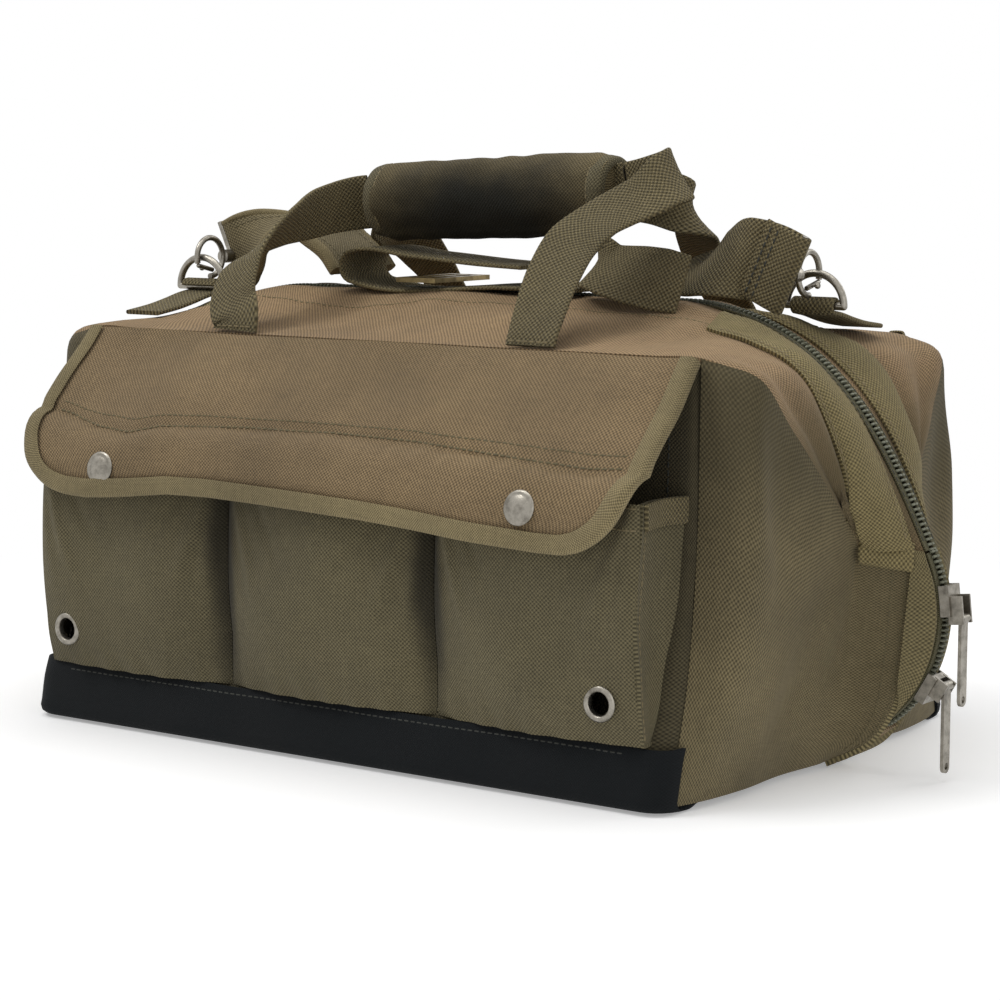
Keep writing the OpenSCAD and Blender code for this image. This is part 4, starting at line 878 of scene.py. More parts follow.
def top_sheet():
    """The slope canvas, and the rows of its coarse grid in its own fine rows."""
    rows = top_rows()
    g = dense(rows, 2.6)
    n = normals(g)
    n = n * np.sign(n[len(n) // 2, 8, 2])
    v = np.linspace(0, 1, g.shape[1])[None]
    s = np.abs(g[..., 0])
    # the cloth hangs slack between the fold and the frame, and rides over the frame's sleeve
    form = -SLACK * bow(np.clip(v / 0.62, 0, 1)) * smooth(s, 190, 120)
    form += SLEEVE_RISE * smooth(v, 0.66, 0.70) * smooth(s, 150, 110)
    form += FRAME_RISE * hump(v, 0.86, 0.075) * smooth(s, 200, 150)
    form += (1.7 * waves(g, 71, 85) + 0.6 * waves(g, 72, 33)) * bow(v, 0.8)
    form += 0.5 * waves(g * [1, 0.3, 0.3], 73, 12) * hump(v, 0.66, 0.06)
    # soft folds run down beside the channel at each end
    for at, deep, width in SLOPE_FOLDS:
        form += deep * hump(v, at, width) * smooth(s, 176, 196) * smooth(g[..., 2], 104, 128)
    at = lengths(rows)
    return g + n * form[..., None], at / at[-1] * (g.shape[0] - 1)


def softened(g, bisector, reach):
    """Bend a sheet in along its first column, so that two sheets meet there in one round fold."""
    steps = np.linalg.norm(np.diff(g, axis=1), axis=2)
    far = np.concatenate([np.zeros((len(g), 1)), np.cumsum(steps, 1)], 1)
    press = np.maximum(1 - far / FOLD_R, 0) ** 2 * (reach * FOLD_R / 2)[:, None]
    return g + bisector[:, None] * press[..., None]


def dented(body):
    """The end canvas with its waves, a soft dent below the ear and a fold that runs down from it."""
    rise = np.linspace(0, 1, body.shape[0])[:, None]
    v = np.linspace(0, 1, body.shape[1])[None]
    n = normals(body)
    n = n * np.sign(n[..., 0:1] + NO_STEP)
    form = (2.0 * waves(body, 81, 90) + 0.8 * waves(body, 82, 38)) * bow(rise, 0.7) * bow(v, 0.5)
    form += -2.8 * hump(v, 0.3, 0.12) * hump(rise, 0.78, 0.16)
    form += 2.2 * hump(v, 0.14 + 0.25 * (1 - rise), 0.07) * hump(rise, 0.72, 0.2)
    return body + n * form[..., None]


def crease_fit():
    """Slope, end and fin sheets with one shared fold along the crease, on the right front quarter."""
    slope, station = top_sheet()
    coarse = end_grid()
    body, fin = dense(coarse[:, :6], 2.8), dense(coarse[:, 5:], 2.2)
    s = lengths(np.swapaxes(spline(coarse[:, :6], 2.8), 0, 1))
    col = s / s[-1] * (body.shape[1] - 1)
    j, k = np.arange(body.shape[1]), np.arange(slope.shape[0])
    # the end's columns meet the slope's foot as far as the crease, and the slope's last row beyond it
    foot, last = slope[:, 0], slope[-1][np.argsort(slope[-1][:, 0])]
    match = np.interp(j, col[:5], station[CREASE_ROWS])
    beyond = j > col[4]
    way = (j - col[4]) / (len(j) - 1 - col[4])
    end_row = read(mix(foot[-1, 0], fin[-1, 0, 0], way), last[:, 0], last)
    target = np.where(beyond[:, None], end_row, read(match, k, foot))
    pull = smooth(np.linspace(0, 1, body.shape[0]), 0.55, 1)[:, None, None]
    body = dented(body)
    body = body + pull * (target - body[-1])[None]
    fin_x = mix(fin[-1, 0, 0], last[-1, 0], np.linspace(0, 1, fin.shape[1]))
    lift = smooth(np.linspace(0, 1, fin.shape[0]), 0.7, 1)[:, None, None]
    fin = fin + lift * (read(fin_x, last[:, 0], last) - fin[-1])[None]
    # round the fold on both sheets
    inner = unit(slope[:, 3] - slope[:, 0])
    at_body = unit(body[-4] - body[-1])
    both = unit(read(match, k, inner) + at_body)
    reach = np.clip((both * at_body).sum(1), 0, 0.9) * (1 - smooth(way, 0, 0.4)) * smooth(j, 0, 4)
    body = np.swapaxes(softened(np.swapaxes(body[::-1], 0, 1), both, reach), 0, 1)[::-1]
    back_j = np.interp(k, match[~beyond], j[~beyond])
    first = int(round(station[CREASE_ROWS[0]]))
    slope_reach = np.interp(back_j, j, reach) * smooth(k, first - 0.5, first + 4)
    bisector = unit(read(back_j, j, both))
    slope = softened(slope, bisector, slope_reach)
    slope = softened(slope, bisector[::-1] * [-1, 1, 1], slope_reach[::-1])
    return slope, body, fin


def slope_canvas(g):
    """Canvas over the front half of the mouth, with the seam of the frame's sleeve."""
    rows, j = g.shape[0], 0.685 * (g.shape[1] - 1)
    sew = seam(g, [(rows * 0.2, j), (rows * 0.8, j)], flip=-1, d=0.8)
    # painted light: the slope canvas is a lighter copy of the end canvas
    pair("*_slope_canvas", joined([shell(g, TOP_T), sew]), [SLOPE, THREAD], "*_top_panel",
         blends=MOUTH_BLENDS)


def channels(g):
    """Webbing over the frame at each end: a rounded strip laid on the slope cloth beside the zip."""
    near, far, cols = 4.2, 32, 16
    rows = g[np.argmax(g[:, -1, 0] > CHANNEL_X):, ::-1]
    n = normals(rows)
    n = n * np.sign(n[3, 8, 2])
    strip, out = [], []
    for row, face in zip(rows, n):
        s = lengths(row)
        d = np.linspace(near, min(far, s[-1] - 0.8), cols)
        strip.append(read(d, s, row))
        out.append(read(d, s, face))
    c = np.array(strip)[:, ::-1]
    w = np.linspace(-1, 1, cols)[None]
    start = smooth(np.arange(len(c)), 0, 7)[:, None]
    rise = 1.6 + (3.0 * (1 - w**2) + 0.4 * waves(c, 77, 40)) * start
    c = c + unit(np.array(out)[:, ::-1]) * rise[..., None]
    sew = [seam(c, [(2, j), (len(c) - 3, j)], flip=-1) for j in (1.3, cols - 2.3)]
    band = both_ways(joined([shell(c, CHANNEL_T)] + sew), 0)
    pair("*_channel_webbing", band, [STRIP, THREAD], "*_channel", blends=MOUTH_BLENDS)


def teeth(path, up, pitch=2.4):
    """One row of zip teeth beside a path, meeting its partner in the middle."""
    p = resampled(np.concatenate([path, up], 1), pitch / 2)[::2]
    q, u = p[:, :3], unit(p[:, 3:])
    t = unit(np.gradient(q, axis=0))
    rings = [np.stack([q + Y * y + t * long * x + u * high * z for x, z in TOOTH_SHARES], 1)
             for y, long, high in TOOTH]
    return beads(np.stack(rings, 1), 1)


def zip_halves():
    """Tape, seam and teeth of the front half of the zip, from end to end over the ridge."""
    half = np.concatenate([RIDGE_LINE[:2], mouth(np.linspace(0, 1, 10))])
    path = np.stack([half[:, 0], half[:, 0] * 0, half[:, 1]], 1)
    path = spline(np.concatenate([path[:0:-1] * [-1, 1, 1], path]), 2.0)
    up = unit(np.cross(Y, np.gradient(path, axis=0)))
    up = up * np.sign(up[:, 2:3] + NO_STEP)
    tape = np.stack([path + up * TAPE_UP + Y * y for y in (-5.6,) + TAPE_Y], 1)
    sew = seam(tape, [(2, 0.9), (len(path) - 3, 0.9)], flip=-1, d=0.6, m=2)
    half = joined([shell(tape, TAPE_T), teeth(path + up * 1.5, up), sew])
    pair("*_zip_tape", half, [TAPE, TEETH, THREAD_DARK], "*_zip_half", blends=MOUTH_BLENDS)


# End panels and the fins with their round zips
FIN_X, FIN_H, FIN_R, FIN_FOOT = 187, 75, 62.5, 195.75
# columns of the bellows: head at the ear or crease, and foot (x, y)
BELLOWS = ((EAR, 190, -106), (CREASE[1], 193, -0.6 * HALF_DEP), (CREASE[3], 193, -0.3 * HALF_DEP))
VALLEY_HEAD, ROOT_HEAD = (214.5, -18, 106), (238, -9, 105)
# the end canvas stops under the slope canvas
UNDER_SLOPE, CORNER_TOP = 2.4, 189.8
LOW_TURN, HIGH_TURN = -57, 27.6
ROW_SHARES = [0, 0.12, 0.25, 0.45, 0.65, 0.83, 1]
VALLEY_SHARES = [0, 0.45, 0.72, 0.86, 0.94, 0.98, 1]
ROOT_SHARES = [0, 0.52, 0.76, 0.88, 0.94, 0.975, 1]
FIN_SHARES = [0, 0.34, 0.62, 0.82, 1]


def fin_point(turn, r=FIN_R):
    """Points (x, z) of the fin's round edge."""
    return arc((FIN_X, FIN_H), r, turn)


def fin_edge(k):
    """The grid's last point in a row: from the foot's middle out to the fin's round edge."""
    low = fin_point(LOW_TURN)
    if k == 0:
        return (FIN_FOOT, -0.6, WALL_FOOT)
    if k == 1:
        return (mix(FIN_FOOT, low[0], 0.5), -mix(0.6, LIP_Y, 0.5), mix(WALL_FOOT, low[1], 0.5))
    x, z = fin_point(mix(LOW_TURN, HIGH_TURN, FIN_SHARES[k - 2]))
    return (x, -LIP_Y, z)


def end_grid():
    """Coarse grid of the right end's front half: corner, ear, two bellows, valley, fin root and edge."""
    grid = []
    for k, s in enumerate(ROW_SHARES):
        bulge = 5 * math.sin(math.pi * s)
        z = mix(WALL_FOOT, CORNER_TOP, s)
        r = float(corner_r(z))
        row = [(float(seam_x(z)) - 0.9 - 0.05 * r, 0.66 * r - float(wall_y(z)), z)]
        for head, x, y in BELLOWS:
            top = head[2] - UNDER_SLOPE
            row.append((mix(x, head[0], s) + bulge, mix(y, head[1], s), mix(WALL_FOOT, top, s)))
        for (x, y, top), shares in ((VALLEY_HEAD, VALLEY_SHARES), (ROOT_HEAD, ROOT_SHARES)):
            row.append((mix(FIN_FOOT, x, shares[k]), y, mix(WALL_FOOT, top, s)))
        row.append(fin_edge(k))
        grid.append(row)
    return np.array(grid)


def end_panels(body, fin):
    """Canvas of both ends, each in a front and a back half, and their fins."""
    f = 1 if normals(body)[20, 30][0] > 0 else -1
    rows, cols = body.shape[:2]
    sew = [seam(body, [(4, j), (rows - 6, j)], flip=f) for j in (cols - 1.6, cols - 3.4)]
    half = joined([shell(body, -WALL_T * f)] + sew)
    tip = both_ways(shell(fin, -WALL_T if normals(fin)[5, 3][1] < 0 else WALL_T), 1)
    for side in ("right", "left"):
        if side == "left":
            half, tip = mirrored(half, 0), mirrored(tip, 0)
        # the end canvas carries painted shade: it is painted darker than the slope canvas
        pair(side + "_*_end_canvas", half, [SIDE, THREAD_SEAM], side + "_end_panel",
             blends=MOUTH_BLENDS)
        make(side + "_fin_canvas", tip, [FIN], side + "_end_panel")


def fin_zips():
    """Tape and teeth down the round edge of each fin."""
    turns = np.linspace(LOW_TURN, 26.6, 96)
    x, z = fin_point(turns, FIN_R + 1.1).T
    path = np.stack([x, x * 0, z], 1)
    up = unit(np.stack([np.cos(np.radians(turns)), turns * 0, np.sin(np.radians(turns))], 1))
    tape = np.stack([path + Y * y - up * 0.2 for y in (-5.4, -4.4) + TAPE_Y[1:]], 1)
    half = shell(tape, TAPE_T if normals(tape)[3, 1] @ up[3] < 0 else -TAPE_T)
    both = both_ways(joined([half, teeth(path + up * 0.6, up)]), 1)
    pair("*_fin_zip_tape", both, [TAPE, TEETH], "*_fin_zip", axis=0, names=("right", "left"))


# ends of the channels: middle, directions across and out, way down (out, z), and the stub's size
STUB_AT = np.array([227.2, -12.2, 104.5])
STUB_ACROSS, STUB_OUT = unit([27.9, 11.4, -4.0]), unit([11.4, -27.9, 0])
STUB_ROUTE = ((0.6, 3.5), (2.6, 0.5), (3.1, -3.2), (2.2, -6.4), (0.4, -7.4))
STUB_W, STUB_T = 25, 2.4


def channel_stubs():
    """Ends of the channels, folded down over the frames' pivots."""
    path = [STUB_AT + STUB_OUT * o + Z * z for o, z in STUB_ROUTE]
    stub = both_ways(ribbon(path, STUB_ACROSS, STUB_W, STUB_T, 1.3), 0)
    pair("*_channel_stubs", stub, [STRIP], "channel_ends", blends=MOUTH_BLENDS)


# canvas tabs: way along with the width there, thickness, height over the zip and their two seams
PATCH_WIDE, PATCH_T, PATCH_UP = ((-1.5, 15), (2, 16), (5.5, 16), (9, 15)), 2.2, 2.6
PATCH_SEAMS, PATCH_SEAM_HALF = (1, 7), 6


def zip_end_patches():
    """Canvas tabs sewn over the lower ends of the fin zips."""
    (x0, z0), (x1, z1) = fin_point(LOW_TURN), end_grid()[1, 6][[0, 2]]
    along = unit([x1 - x0, 0, z1 - z0])
    out = np.array([-along[2], 0, along[0]]) * (1 if along[2] < 0 else -1)
    a = np.array([x0, 0, z0]) + out * PATCH_UP
    tab = ribbon([a + along * d for d, _ in PATCH_WIDE], Y, [w for _, w in PATCH_WIDE], PATCH_T, 1.5)
    face = a + out * (PATCH_T / 2)
    sew = [tack(face + along * d, Y * PATCH_SEAM_HALF, out) for d in PATCH_SEAMS]
    make("zip_end_patches", both_ways(joined([tab] + sew), 0), [CANVAS, THREAD], "zip_end_tabs")


# Handles and grip
GRIP_X, GRIP_Z, GRIP_TILT, GRIP_HALF, GRIP_R = 4.5, 258.5, math.radians(2.6), 70.5, 19.2
HANDLE_X, HANDLE_W, HANDLE_T, LOOP = 87.3, 27, 2.4, 27
HANDLE_FOOT, HANDLE_TACK, TACK_HALF, GRIP_INSIDE = (-90.8, 194.3), (-92.1, 196.5), 11, (71.5, -1.6)
RIM_X, WRAP_R, WRAP_LAP, WRAP_FROM = 66.5, 22, 0.9, 4.0
# rows of stitches inside each rim: their distance from it and their radius
GRIP_SEAMS = ((3.0, 20.1), (7.5, 19.7))
RIM_PROFILE = [(18.6, -4.5), (19.4, -4.2), (20.1, -3.5), (20.2, 0), (19.4, 3.4), (18.3, 4.6), (16.5, 5.0),
               (14.5, 4.6)]
HANDLE_BLEND = ("bag", "grip", (0, 0, 0.197), (0, 0, 0.240))
# a leg from foot to grip: share toward the grip's end, share of the loop outward, shares in and up, and
# the direction of the width there
RIGHT_FRONT = [(0, 0, 0, 0, 1, 0, 0), (0, 0, 0.02, 0.06, 1, 0, 0), (0, -0.03, 0.1, 0.22, 1, 0.1, 0),
               (0, -0.08, 0.255, 0.48, 0.93, 0.3, 0), (0, -0.04, 0.41, 0.685, 0.9, 0.3, -0.1),
               (0, 0.17, 0.555, 0.825, 0.95, -0.05, -0.25), (0, 0.46, 0.655, 0.915, 0.84, -0.25, -0.45),
               (0.3, 0.84, 0.72, 0.98, 0.74, -0.3, -0.58), (0.4, 1.15, 0.82, 1.09, 0.6, -0.1, -0.8),
               (0.4, 1.18, 0.91, 1.125, 0.5, 0.15, -0.85), (0.45, 1, 0.975, 1.115, 0.3, 0.05, -0.95),
               (0.6, 0.72, 1.01, 1.078, 0.1, 0, -1), (0.8, 0.38, 1.005, 1.03, 0, 0, -1)]
LEFT_FRONT = [(0, 0, 0, 0, 1, 0, 0), (0, 0, 0.01, 0.1, 1, 0, 0), (0, 0.19, 0.05, 0.22, 1, 0, 0),
              (0, 0.34, 0.165, 0.47, 0.98, -0.15, 0.1), (0, 0.24, 0.35, 0.685, 0.73, -0.57, 0.39),
              (0.05, 0.23, 0.56, 0.82, 0.55, -0.42, 0.72), (0.1, 0.18, 0.74, 0.9, 0.19, -0.49, 0.85),
              (0.25, 0.1, 0.885, 0.955, 0.1, -0.24, 0.96), (0.6, 0.04, 0.98, 0.99, 0, -0.05, 1)]
RIGHT_BACK = [(0, 0, 0, 0, 1, 0, 0), (0, 0, 0.02, 0.06, 1, 0, 0), (0, 0.03, 0.165, 0.24, 1, 0, 0),
              (0, 0.14, 0.41, 0.5, 0.97, -0.1, -0.2), (0, 0.4, 0.63, 0.68, 0.85, -0.2, -0.45),
              (0.1, 0.74, 0.78, 0.8, 0.6, -0.25, -0.75), (0.3, 0.86, 0.885, 0.88, 0.3, -0.1, -0.95),
              (0.55, 0.65, 0.965, 0.95, 0.1, 0, -1), (0.8, 0.32, 0.99, 0.985, 0, 0, -1)]
LEFT_BACK = [(0, 0, 0, 0, 1, 0, 0), (0, 0, 0.02, 0.06, 1, 0, 0), (0, 0.02, 0.12, 0.25, 1, 0.1, 0.1),
             (0, -0.04, 0.32, 0.49, 0.8, 0.3, 0.5), (0, -0.12, 0.54, 0.7, 0.5, 0.45, 0.74),
             (0.05, -0.14, 0.74, 0.83, 0.19, 0.49, 0.85), (0.2, -0.1, 0.88, 0.925, 0.1, 0.24, 0.96),
             (0.6, 0, 0.97, 0.975, 0, 0.05, 1)]


def grip_point(x, y=0.0, up=0.0):
    """Points of the tilted grip, x along it from its middle."""
    c, s = math.cos(GRIP_TILT), math.sin(GRIP_TILT)
    x, y, up = np.broadcast_arrays(x, y, up)
    return np.stack([GRIP_X + x * c - up * s, y, GRIP_Z + x * s + up * c], -1)


def leg(side, table):
    """A handle's leg: points of its middle line and the directions of its width."""
    x, y = GRIP_INSIDE
    end = np.array([side * x + GRIP_X, y, GRIP_Z + side * x * math.tan(GRIP_TILT)])
    foot = np.array([side * HANDLE_X, *HANDLE_FOOT])
    t = np.array(table)
    route = mix(foot, end, t[:, [0, 2, 3]]) + side * LOOP * t[:, 1:2] * X
    inside = grip_point(side * np.array([x, 66, 40]), y)
    return np.concatenate([route, inside]), np.concatenate([t[:, 4:], [side * Z] * 3])


def handles():
    """Webbing of both handles, with a row of tacking stitches across each foot."""
    tacks = [tack(np.array([s * HANDLE_X, *HANDLE_TACK]), X * TACK_HALF, -Y) for s in (-1, 1)]
    for name, lefts, rights in (("front", LEFT_FRONT, RIGHT_FRONT), ("back", LEFT_BACK, RIGHT_BACK)):
        left, left_across = leg(-1, lefts)
        right, right_across = leg(1, rights)
        path = np.concatenate([left, right[::-1]])
        across = np.concatenate([left_across, -right_across[::-1]])
        g = joined([ribbon(path, across, HANDLE_W, HANDLE_T, 2.2)] + tacks)
        if name == "back":
            g = mirrored(g, 1)
        make(name + "_handle_webbing", g, [WEBBING, THREAD], name + "_handle", blend=HANDLE_BLEND)


def grip_share(x):
    """The grip's thickness along it, fullest in the middle."""
    return 1 - 0.13 * smooth(abs(x), 60, GRIP_HALF) - 0.05 * smooth(x, 10, 70)


def grip():
    """A rolled canvas sleeve with an overlap, bound at both ends."""
    a = np.linspace(0, TURN, 80, endpoint=False)
    lap = np.mod(a - WRAP_FROM, TURN)
    overlap = WRAP_LAP * smooth(lap, 0, 0.15) * (1 - smooth(lap, 0.2, 5.5))
    rings = []
    for x in np.linspace(-GRIP_HALF, GRIP_HALF, 64):
        p = np.stack([np.full_like(a, x), WRAP_R * np.cos(a), WRAP_R * np.sin(a)], 1)
        dips = 0.56 * waves(p, 91, 40) + 0.28 * waves(p, 92, 15)
        r = GRIP_R * grip_share(x) + dips + overlap
        rings.append(grip_point(x, r * np.cos(a), r * np.sin(a)))
    parts = [loft(rings)]
    round_turn = np.linspace(0, TURN, 90)
    for s in (-1, 1):
        scale = float(grip_share(s * (RIM_X - 0.5)))
        outward = grip_point(s) - grip_point(0)
        rim = [(r * scale, h) for r, h in RIM_PROFILE]
        parts.append(lathe(rim, grip_point(s * RIM_X), outward, 72, m=1, caps=False))
        for back, r in GRIP_SEAMS:
            x, r = s * (RIM_X - back), r * scale
            ring = grip_point(x, r * np.cos(round_turn), r * np.sin(round_turn))
            parts.append(stitches(ring, unit(ring - grip_point(x)), d=0.7, m=2))
    sleeve = make("grip_sleeve", joined(parts), [SLEEVE, POCKET, THREAD], "handle_grip",
                  body="grip")


# Straps, pad and tabs; a route holds shares of its reach and the turn of its width, in degrees
RING_X, HOOK_EYE_Y, HOOK_Z, STRAP_W, PAD_W, TAB_W = 171.0, 3.7, 225.0, 38, 46, 22.8
STRAP_T, RUN_T, PAD_T, TAB_T = 2, 1.9, 6, 2.2
RIM_IN, RIM_OVER, PAD_SEAM_IN, HOOK_BAR = 0.6, 0.5, 6, 1.8
# the doubled length: the place, low height and radius of its bend, its lower way (x) and upper way (x, z)
BEND_X, STRAP_LOW, BEND_R, LOW_WAY, HIGH_WAY = -72, 215, 8, (61.9, 20.9), ((-36, 229), (6.5, 226), (31, 225))
BIGHT_AT, BIGHT_WIDE = (72, 0, 231.0), (27.4, 27.4, 28, 31, 32, 31, 28)
# the run: its tilt, the way to the bar (back, y, z), round it, and back on its other face
RUN_TILT, RUN_IN = math.radians(24), ((24, 1.4, -3), (10, 2.0, 0), (3, 2.4, 0))
RUN_ROUND_R, RUN_ROUND = 2.4, np.linspace(0.3, math.pi - 0.3, 6)
RUN_BACK = ((3, -2.5), (10, -2.2), (20, -1.2))
RUN_SEAMS, RUN_SEAM_HALF, RUN_SEAM_Y = (16.5, 12.5), 17, 2.9
PAD_REACH, BIGHT_REACH, RUN_REACH = 82, 50, 86
PAD_ROUTE = np.array([[0, 0, 0, 0], [0.05, 0, 0.022, 0], [0.17, 0.012, 0.08, 30], [0.3, 0.037, 0.14, 60],
                      [0.45, 0.06, 0.2, 78], [0.61, 0.085, 0.21, 86], [0.78, 0.1, 0.11, 90],
                      [0.88, 0.11, 0.04, 90], [0.97, 0.11, -0.065, 90]])
BIGHT_ROUTE = np.array([[0.06, -0.08, -0.06, 50], [-0.01, -0.2, -0.06, 50], [0.06, -0.34, -0.07, 50],
                        [0.26, -0.42, -0.1, 46], [0.52, -0.44, -0.14, 36], [0.8, -0.43, -0.18, 24],
                        [1.04, -0.4, -0.222, 16]])
RUN_ROUTE = np.array([[-0.82, 0.2, -0.02, 70], [-0.68, 0.18, 0, 62], [-0.49, 0.08, 0.05, 40]])
# a tab: its foot's length, the ring's middle (y, z), where the tab is sewn, how far it rises and its eye
TAB_FOOT, RING_MID, TAB_LOW, TAB_RISE, TAB_EYE_R = 46, (-20, 210), 198.5, 8.5, 3.2
TAB_SHARES = [(0, 0), (0.39, 0.3), (0.61, 0.55), (0.87, 0.88)]


def turned(a):
    """Width directions turned down from upright toward the back, by an angle in degrees."""
    a = np.radians(a)
    return np.stack([a * 0, np.sin(a), np.cos(a)], -1)


def strap_pad():
    """Shoulder pad at the left hook, with a bound rim and two rows of stitches on each face."""
    path = [HOOK_BAR - RING_X, HOOK_EYE_Y, HOOK_Z] + PAD_REACH * PAD_ROUTE[:, :3]
    angle = PAD_ROUTE[:, 3]
    k = np.minimum(angle / 60, 1)
    wide, thick = mix(STRAP_W, PAD_W, k), mix(STRAP_T, PAD_T, k)
    parts = [ribbon(path, turned(angle), wide, thick, 2.2, flat_cols=12)]
    t = np.linspace(0, 1, 44)
    at = lengths(path) / lengths(path)[-1]
    line, half, deep = spline(path, at=t), np.interp(t, at, wide) / 2, np.interp(t, at, thick) / 2
    ahead, across = unit(np.gradient(line, axis=0)), turned(np.interp(t, at, angle))
    across = unit(across - ahead * (across * ahead).sum(1, keepdims=True))
    face = np.cross(ahead, across)
    for side in (-1, 1):
        parts.append(tube(line + across * (half - RIM_IN)[:, None] * side, deep + RIM_OVER, m=1))
        for way in (-1, 1):
            row = line + across * (half - PAD_SEAM_IN)[:, None] * side + face * deep[:, None] * way
            parts.append(stitches(row[3:-3], face[3:-3] * way, m=2))
    # the pad takes the end canvas, which is painted darker as shade
    pad = make("strap_pad", joined(parts), [SIDE, BINDING, THREAD_SEAM], "shoulder_pad")


def strap_folded():
    """The length of strap that lies doubled behind the grip."""
    bend = arc((BEND_X, STRAP_LOW + BEND_R), BEND_R, np.arange(270, 80, -30))
    path = [(x, 0, z) for x, z in [(x, STRAP_LOW) for x in LOW_WAY] + bend.tolist() + list(HIGH_WAY)]
    make("strap_folded", ribbon(path, Y, STRAP_W, STRAP_T, 2.4), [WEBBING], "strap_fold")


def strap_bight():
    """The strap's bight, which folds out on the right of the grip."""
    path = BIGHT_AT + BIGHT_REACH * BIGHT_ROUTE[:, :3]
    bight = ribbon(path, turned(BIGHT_ROUTE[:, 3]), BIGHT_WIDE, STRAP_T, 1.8)
    make("strap_bight", bight, [WEBBING], "strap_loop")


def strap_run():
    """The last run to the right hook, round its bar and sewn back on itself."""
    bar = np.array([RING_X, -HOOK_EYE_Y, HOOK_Z])
    path = bar - HOOK_BAR * X + RUN_REACH * RUN_ROUTE[:, :3]
    d = np.array([math.cos(RUN_TILT), 0, -math.sin(RUN_TILT)])
    w = np.array([math.sin(RUN_TILT), 0, math.cos(RUN_TILT)])
    turn = [bar - d * back + Y * y + Z * z for back, y, z in RUN_IN]
    turn += [bar + (Y * math.cos(t) + d * math.sin(t)) * RUN_ROUND_R for t in RUN_ROUND]
    turn += [bar - d * back + Y * y for back, y in RUN_BACK]
    across = np.concatenate([turned(RUN_ROUTE[:, 3]), [w * 0.8 + turned(10) * 0.2], [w] * (len(turn) - 1)])
    run = ribbon(np.concatenate([path, turn]), across, STRAP_W, RUN_T, 1.7)
    sew = [tack(bar - d * back - Y * RUN_SEAM_Y, w * RUN_SEAM_HALF, -Y) for back in RUN_SEAMS]
    make("strap_end_run", joined([run] + sew), [WEBBING, THREAD_DARK], "strap_run")


def ring_tabs():
    """Webbing tabs sewn near the folds, each round a ring."""
    path = [(RING_X, RING_MID[0] - TAB_FOOT * (1 - a), TAB_LOW + b * TAB_RISE) for a, b in TAB_SHARES]
    path += [(RING_X, y, z) for y, z in arc(RING_MID, TAB_EYE_R, [-100, -60, -20, 20, 60, 100, 140, 170])]
    tab = ribbon(path, X, TAB_W, TAB_T, 1.6)
    make("right_tab_webbing", mirrored(tab, 1), [WEBBING], "right_tab")
    make("left_tab_webbing", mirrored(tab, 0), [WEBBING], "left_tab")


# Metal that keeps its CAD shape
def metals():
    sides = [side + part for side in ("left_", "right_") for part in ("ring", "hook", "gate")]
    for name in ["snap_studs", "slider_upper", "slider_lower", "pull_upper", "pull_lower"] + sides:
        finish(name, NICKEL)
    for name in ("front_frame", "back_frame", "frame_hinges"):
        finish(name, STEEL)
    finish("tri_glide", BRASS)


# Camera, floor and light, in metres
VIEW_AZ, VIEW_EL, VIEW_AT = math.radians(35.5), math.radians(7.6), (0.7977, -1.1100, 0.2885)
LENS, SENSOR, SHIFT, VIEW_END = 99.65, 36, 0.004, 100
WHITE, PALE = (1, 1, 1, 1), (0.9, 0.9, 0.9, 1)
WORLD_LIGHT, FLOOR_GLOW = 0.36, 0.3
FLOOR_R, FLOOR_Z, FLOOR_SIDES, FADE_FROM, FADE_TO = 4.0, -0.0006, 48, 0.3, 0.62
BAG_MIDDLE = Vector((0, 0, 0.1))
# each lamp: its place, its power in watts and its size
LAMPS = (("key", (-1.05, -1.1, 2.1), 19, 0.9), ("fill", (1.9, -0.9, 0.9), 5, 1.6),
         ("top", (0.0, 0.1, 1.9), 13, 1.3), ("rim", (0.9, 1.7, 1.2), 6, 1.0))


def aimed(name, data, place, ahead):
    """A camera or lamp that looks in a direction."""
    obj = bpy.data.objects.new(name, data)
    bpy.context.scene.collection.objects.link(obj)
    obj.location = place
    obj.rotation_mode = "QUATERNION"
    obj.rotation_quaternion = ahead.to_track_quat("-Z", "Y")
    return obj


def camera():
    """The photo's own view of the bag."""
    cam = bpy.data.cameras.new("view")
    cam.lens = LENS
    cam.sensor_width = SENSOR
    cam.shift_y = SHIFT
    cam.clip_end = VIEW_END
    level = math.cos(VIEW_EL)
    ahead = Vector((-math.sin(VIEW_AZ) * level, math.cos(VIEW_AZ) * level, -math.sin(VIEW_EL)))
    bpy.context.scene.camera = aimed("view", cam, VIEW_AT, ahead)


def seen(add):
    """One for a ray from the camera, also by way of gloss or glass, and nothing for the others."""
    ray = add("LightPath", out=None).outputs
    first = add("Math", ray["Is Camera Ray"], ray["Is Glossy Ray"], operation="MAXIMUM")
    return add("Math", first, ray["Is Transmission Ray"], operation="MAXIMUM")


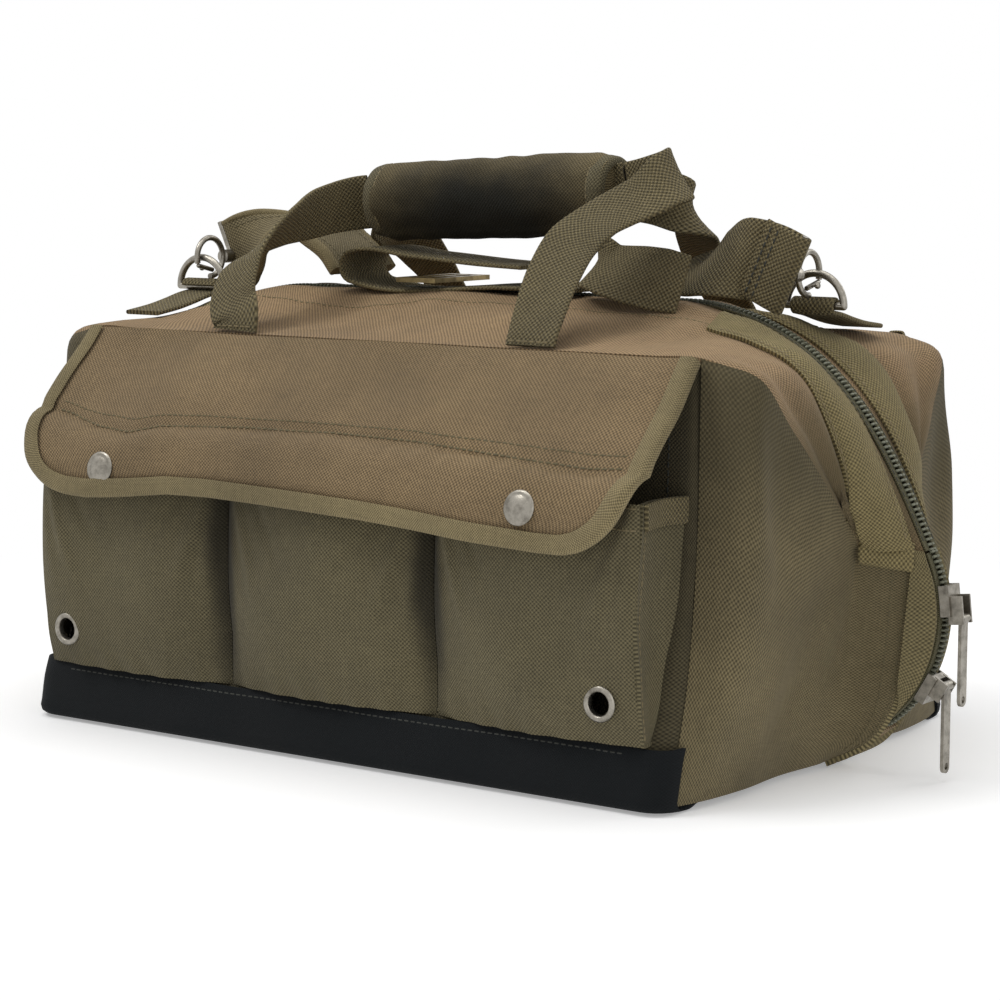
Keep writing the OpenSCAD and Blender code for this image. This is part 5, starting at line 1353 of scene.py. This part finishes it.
def backdrop():
    """A world that looks white and gives a dimmer light."""
    world = bpy.data.worlds.new("studio")
    world.use_nodes = True
    add = adder(world.node_tree)
    dim, white = add("Background", WHITE, WORLD_LIGHT), add("Background", WHITE, 1.0)
    add("OutputWorld", add("MixShader", seen(add), dim, white), out=None)
    bpy.context.scene.world = world
    bpy.context.scene.view_settings.view_transform = "Standard"


def floor():
    """A pale disc that takes the shadow near the bag and fades into white farther off."""
    rim = arc((0, 0), FLOOR_R, np.linspace(0, 360, FLOOR_SIDES, endpoint=False))
    mesh = bpy.data.meshes.new("floor")
    mesh.from_pydata([(0, 0, 0)] + [(x, y, 0) for x, y in rim.tolist()], [],
                     [(0, k + 1, (k + 1) % FLOOR_SIDES + 1) for k in range(FLOOR_SIDES)])
    disc = bpy.data.objects.new("floor", mesh)
    disc.location.z = FLOOR_Z
    bpy.context.scene.collection.objects.link(disc)
    mat, add = graph("floor")
    pale = add("BsdfDiffuse", PALE)
    near = add("AddShader", pale, add("Emission", WHITE, FLOOR_GLOW))
    away = add("MixShader", seen(add), pale, add("Emission", WHITE, 1.0))
    off = add("VectorMath", add("TexCoord", out=3), operation="LENGTH", out=1)
    fade = add("MapRange", off, FADE_FROM, FADE_TO, 0.0, 1.0, interpolation_type="SMOOTHSTEP")
    add("OutputMaterial", add("MixShader", fade, near, away), out=None)
    mesh.materials.append(mat)


def lamps():
    for name, place, power, size in LAMPS:
        data = bpy.data.lights.new(name, "AREA")
        data.energy = power
        data.size = size
        aimed(name, data, place, BAG_MIDDLE - Vector(place))


camera()
base()
walls()
pocket_faces()
pocket_sides()
pocket_hems()
tool_loops()
flap_canvas()
flap_binding()
snap_domes()
grommets()
slope_grid, end_body, end_fin = crease_fit()
slope_canvas(slope_grid)
channels(slope_grid)
zip_halves()
end_panels(end_body, end_fin)
fin_zips()
channel_stubs()
zip_end_patches()
handles()
grip()
strap_pad()
strap_folded()
strap_bight()
strap_run()
ring_tabs()
metals()
backdrop()
floor()
lamps()
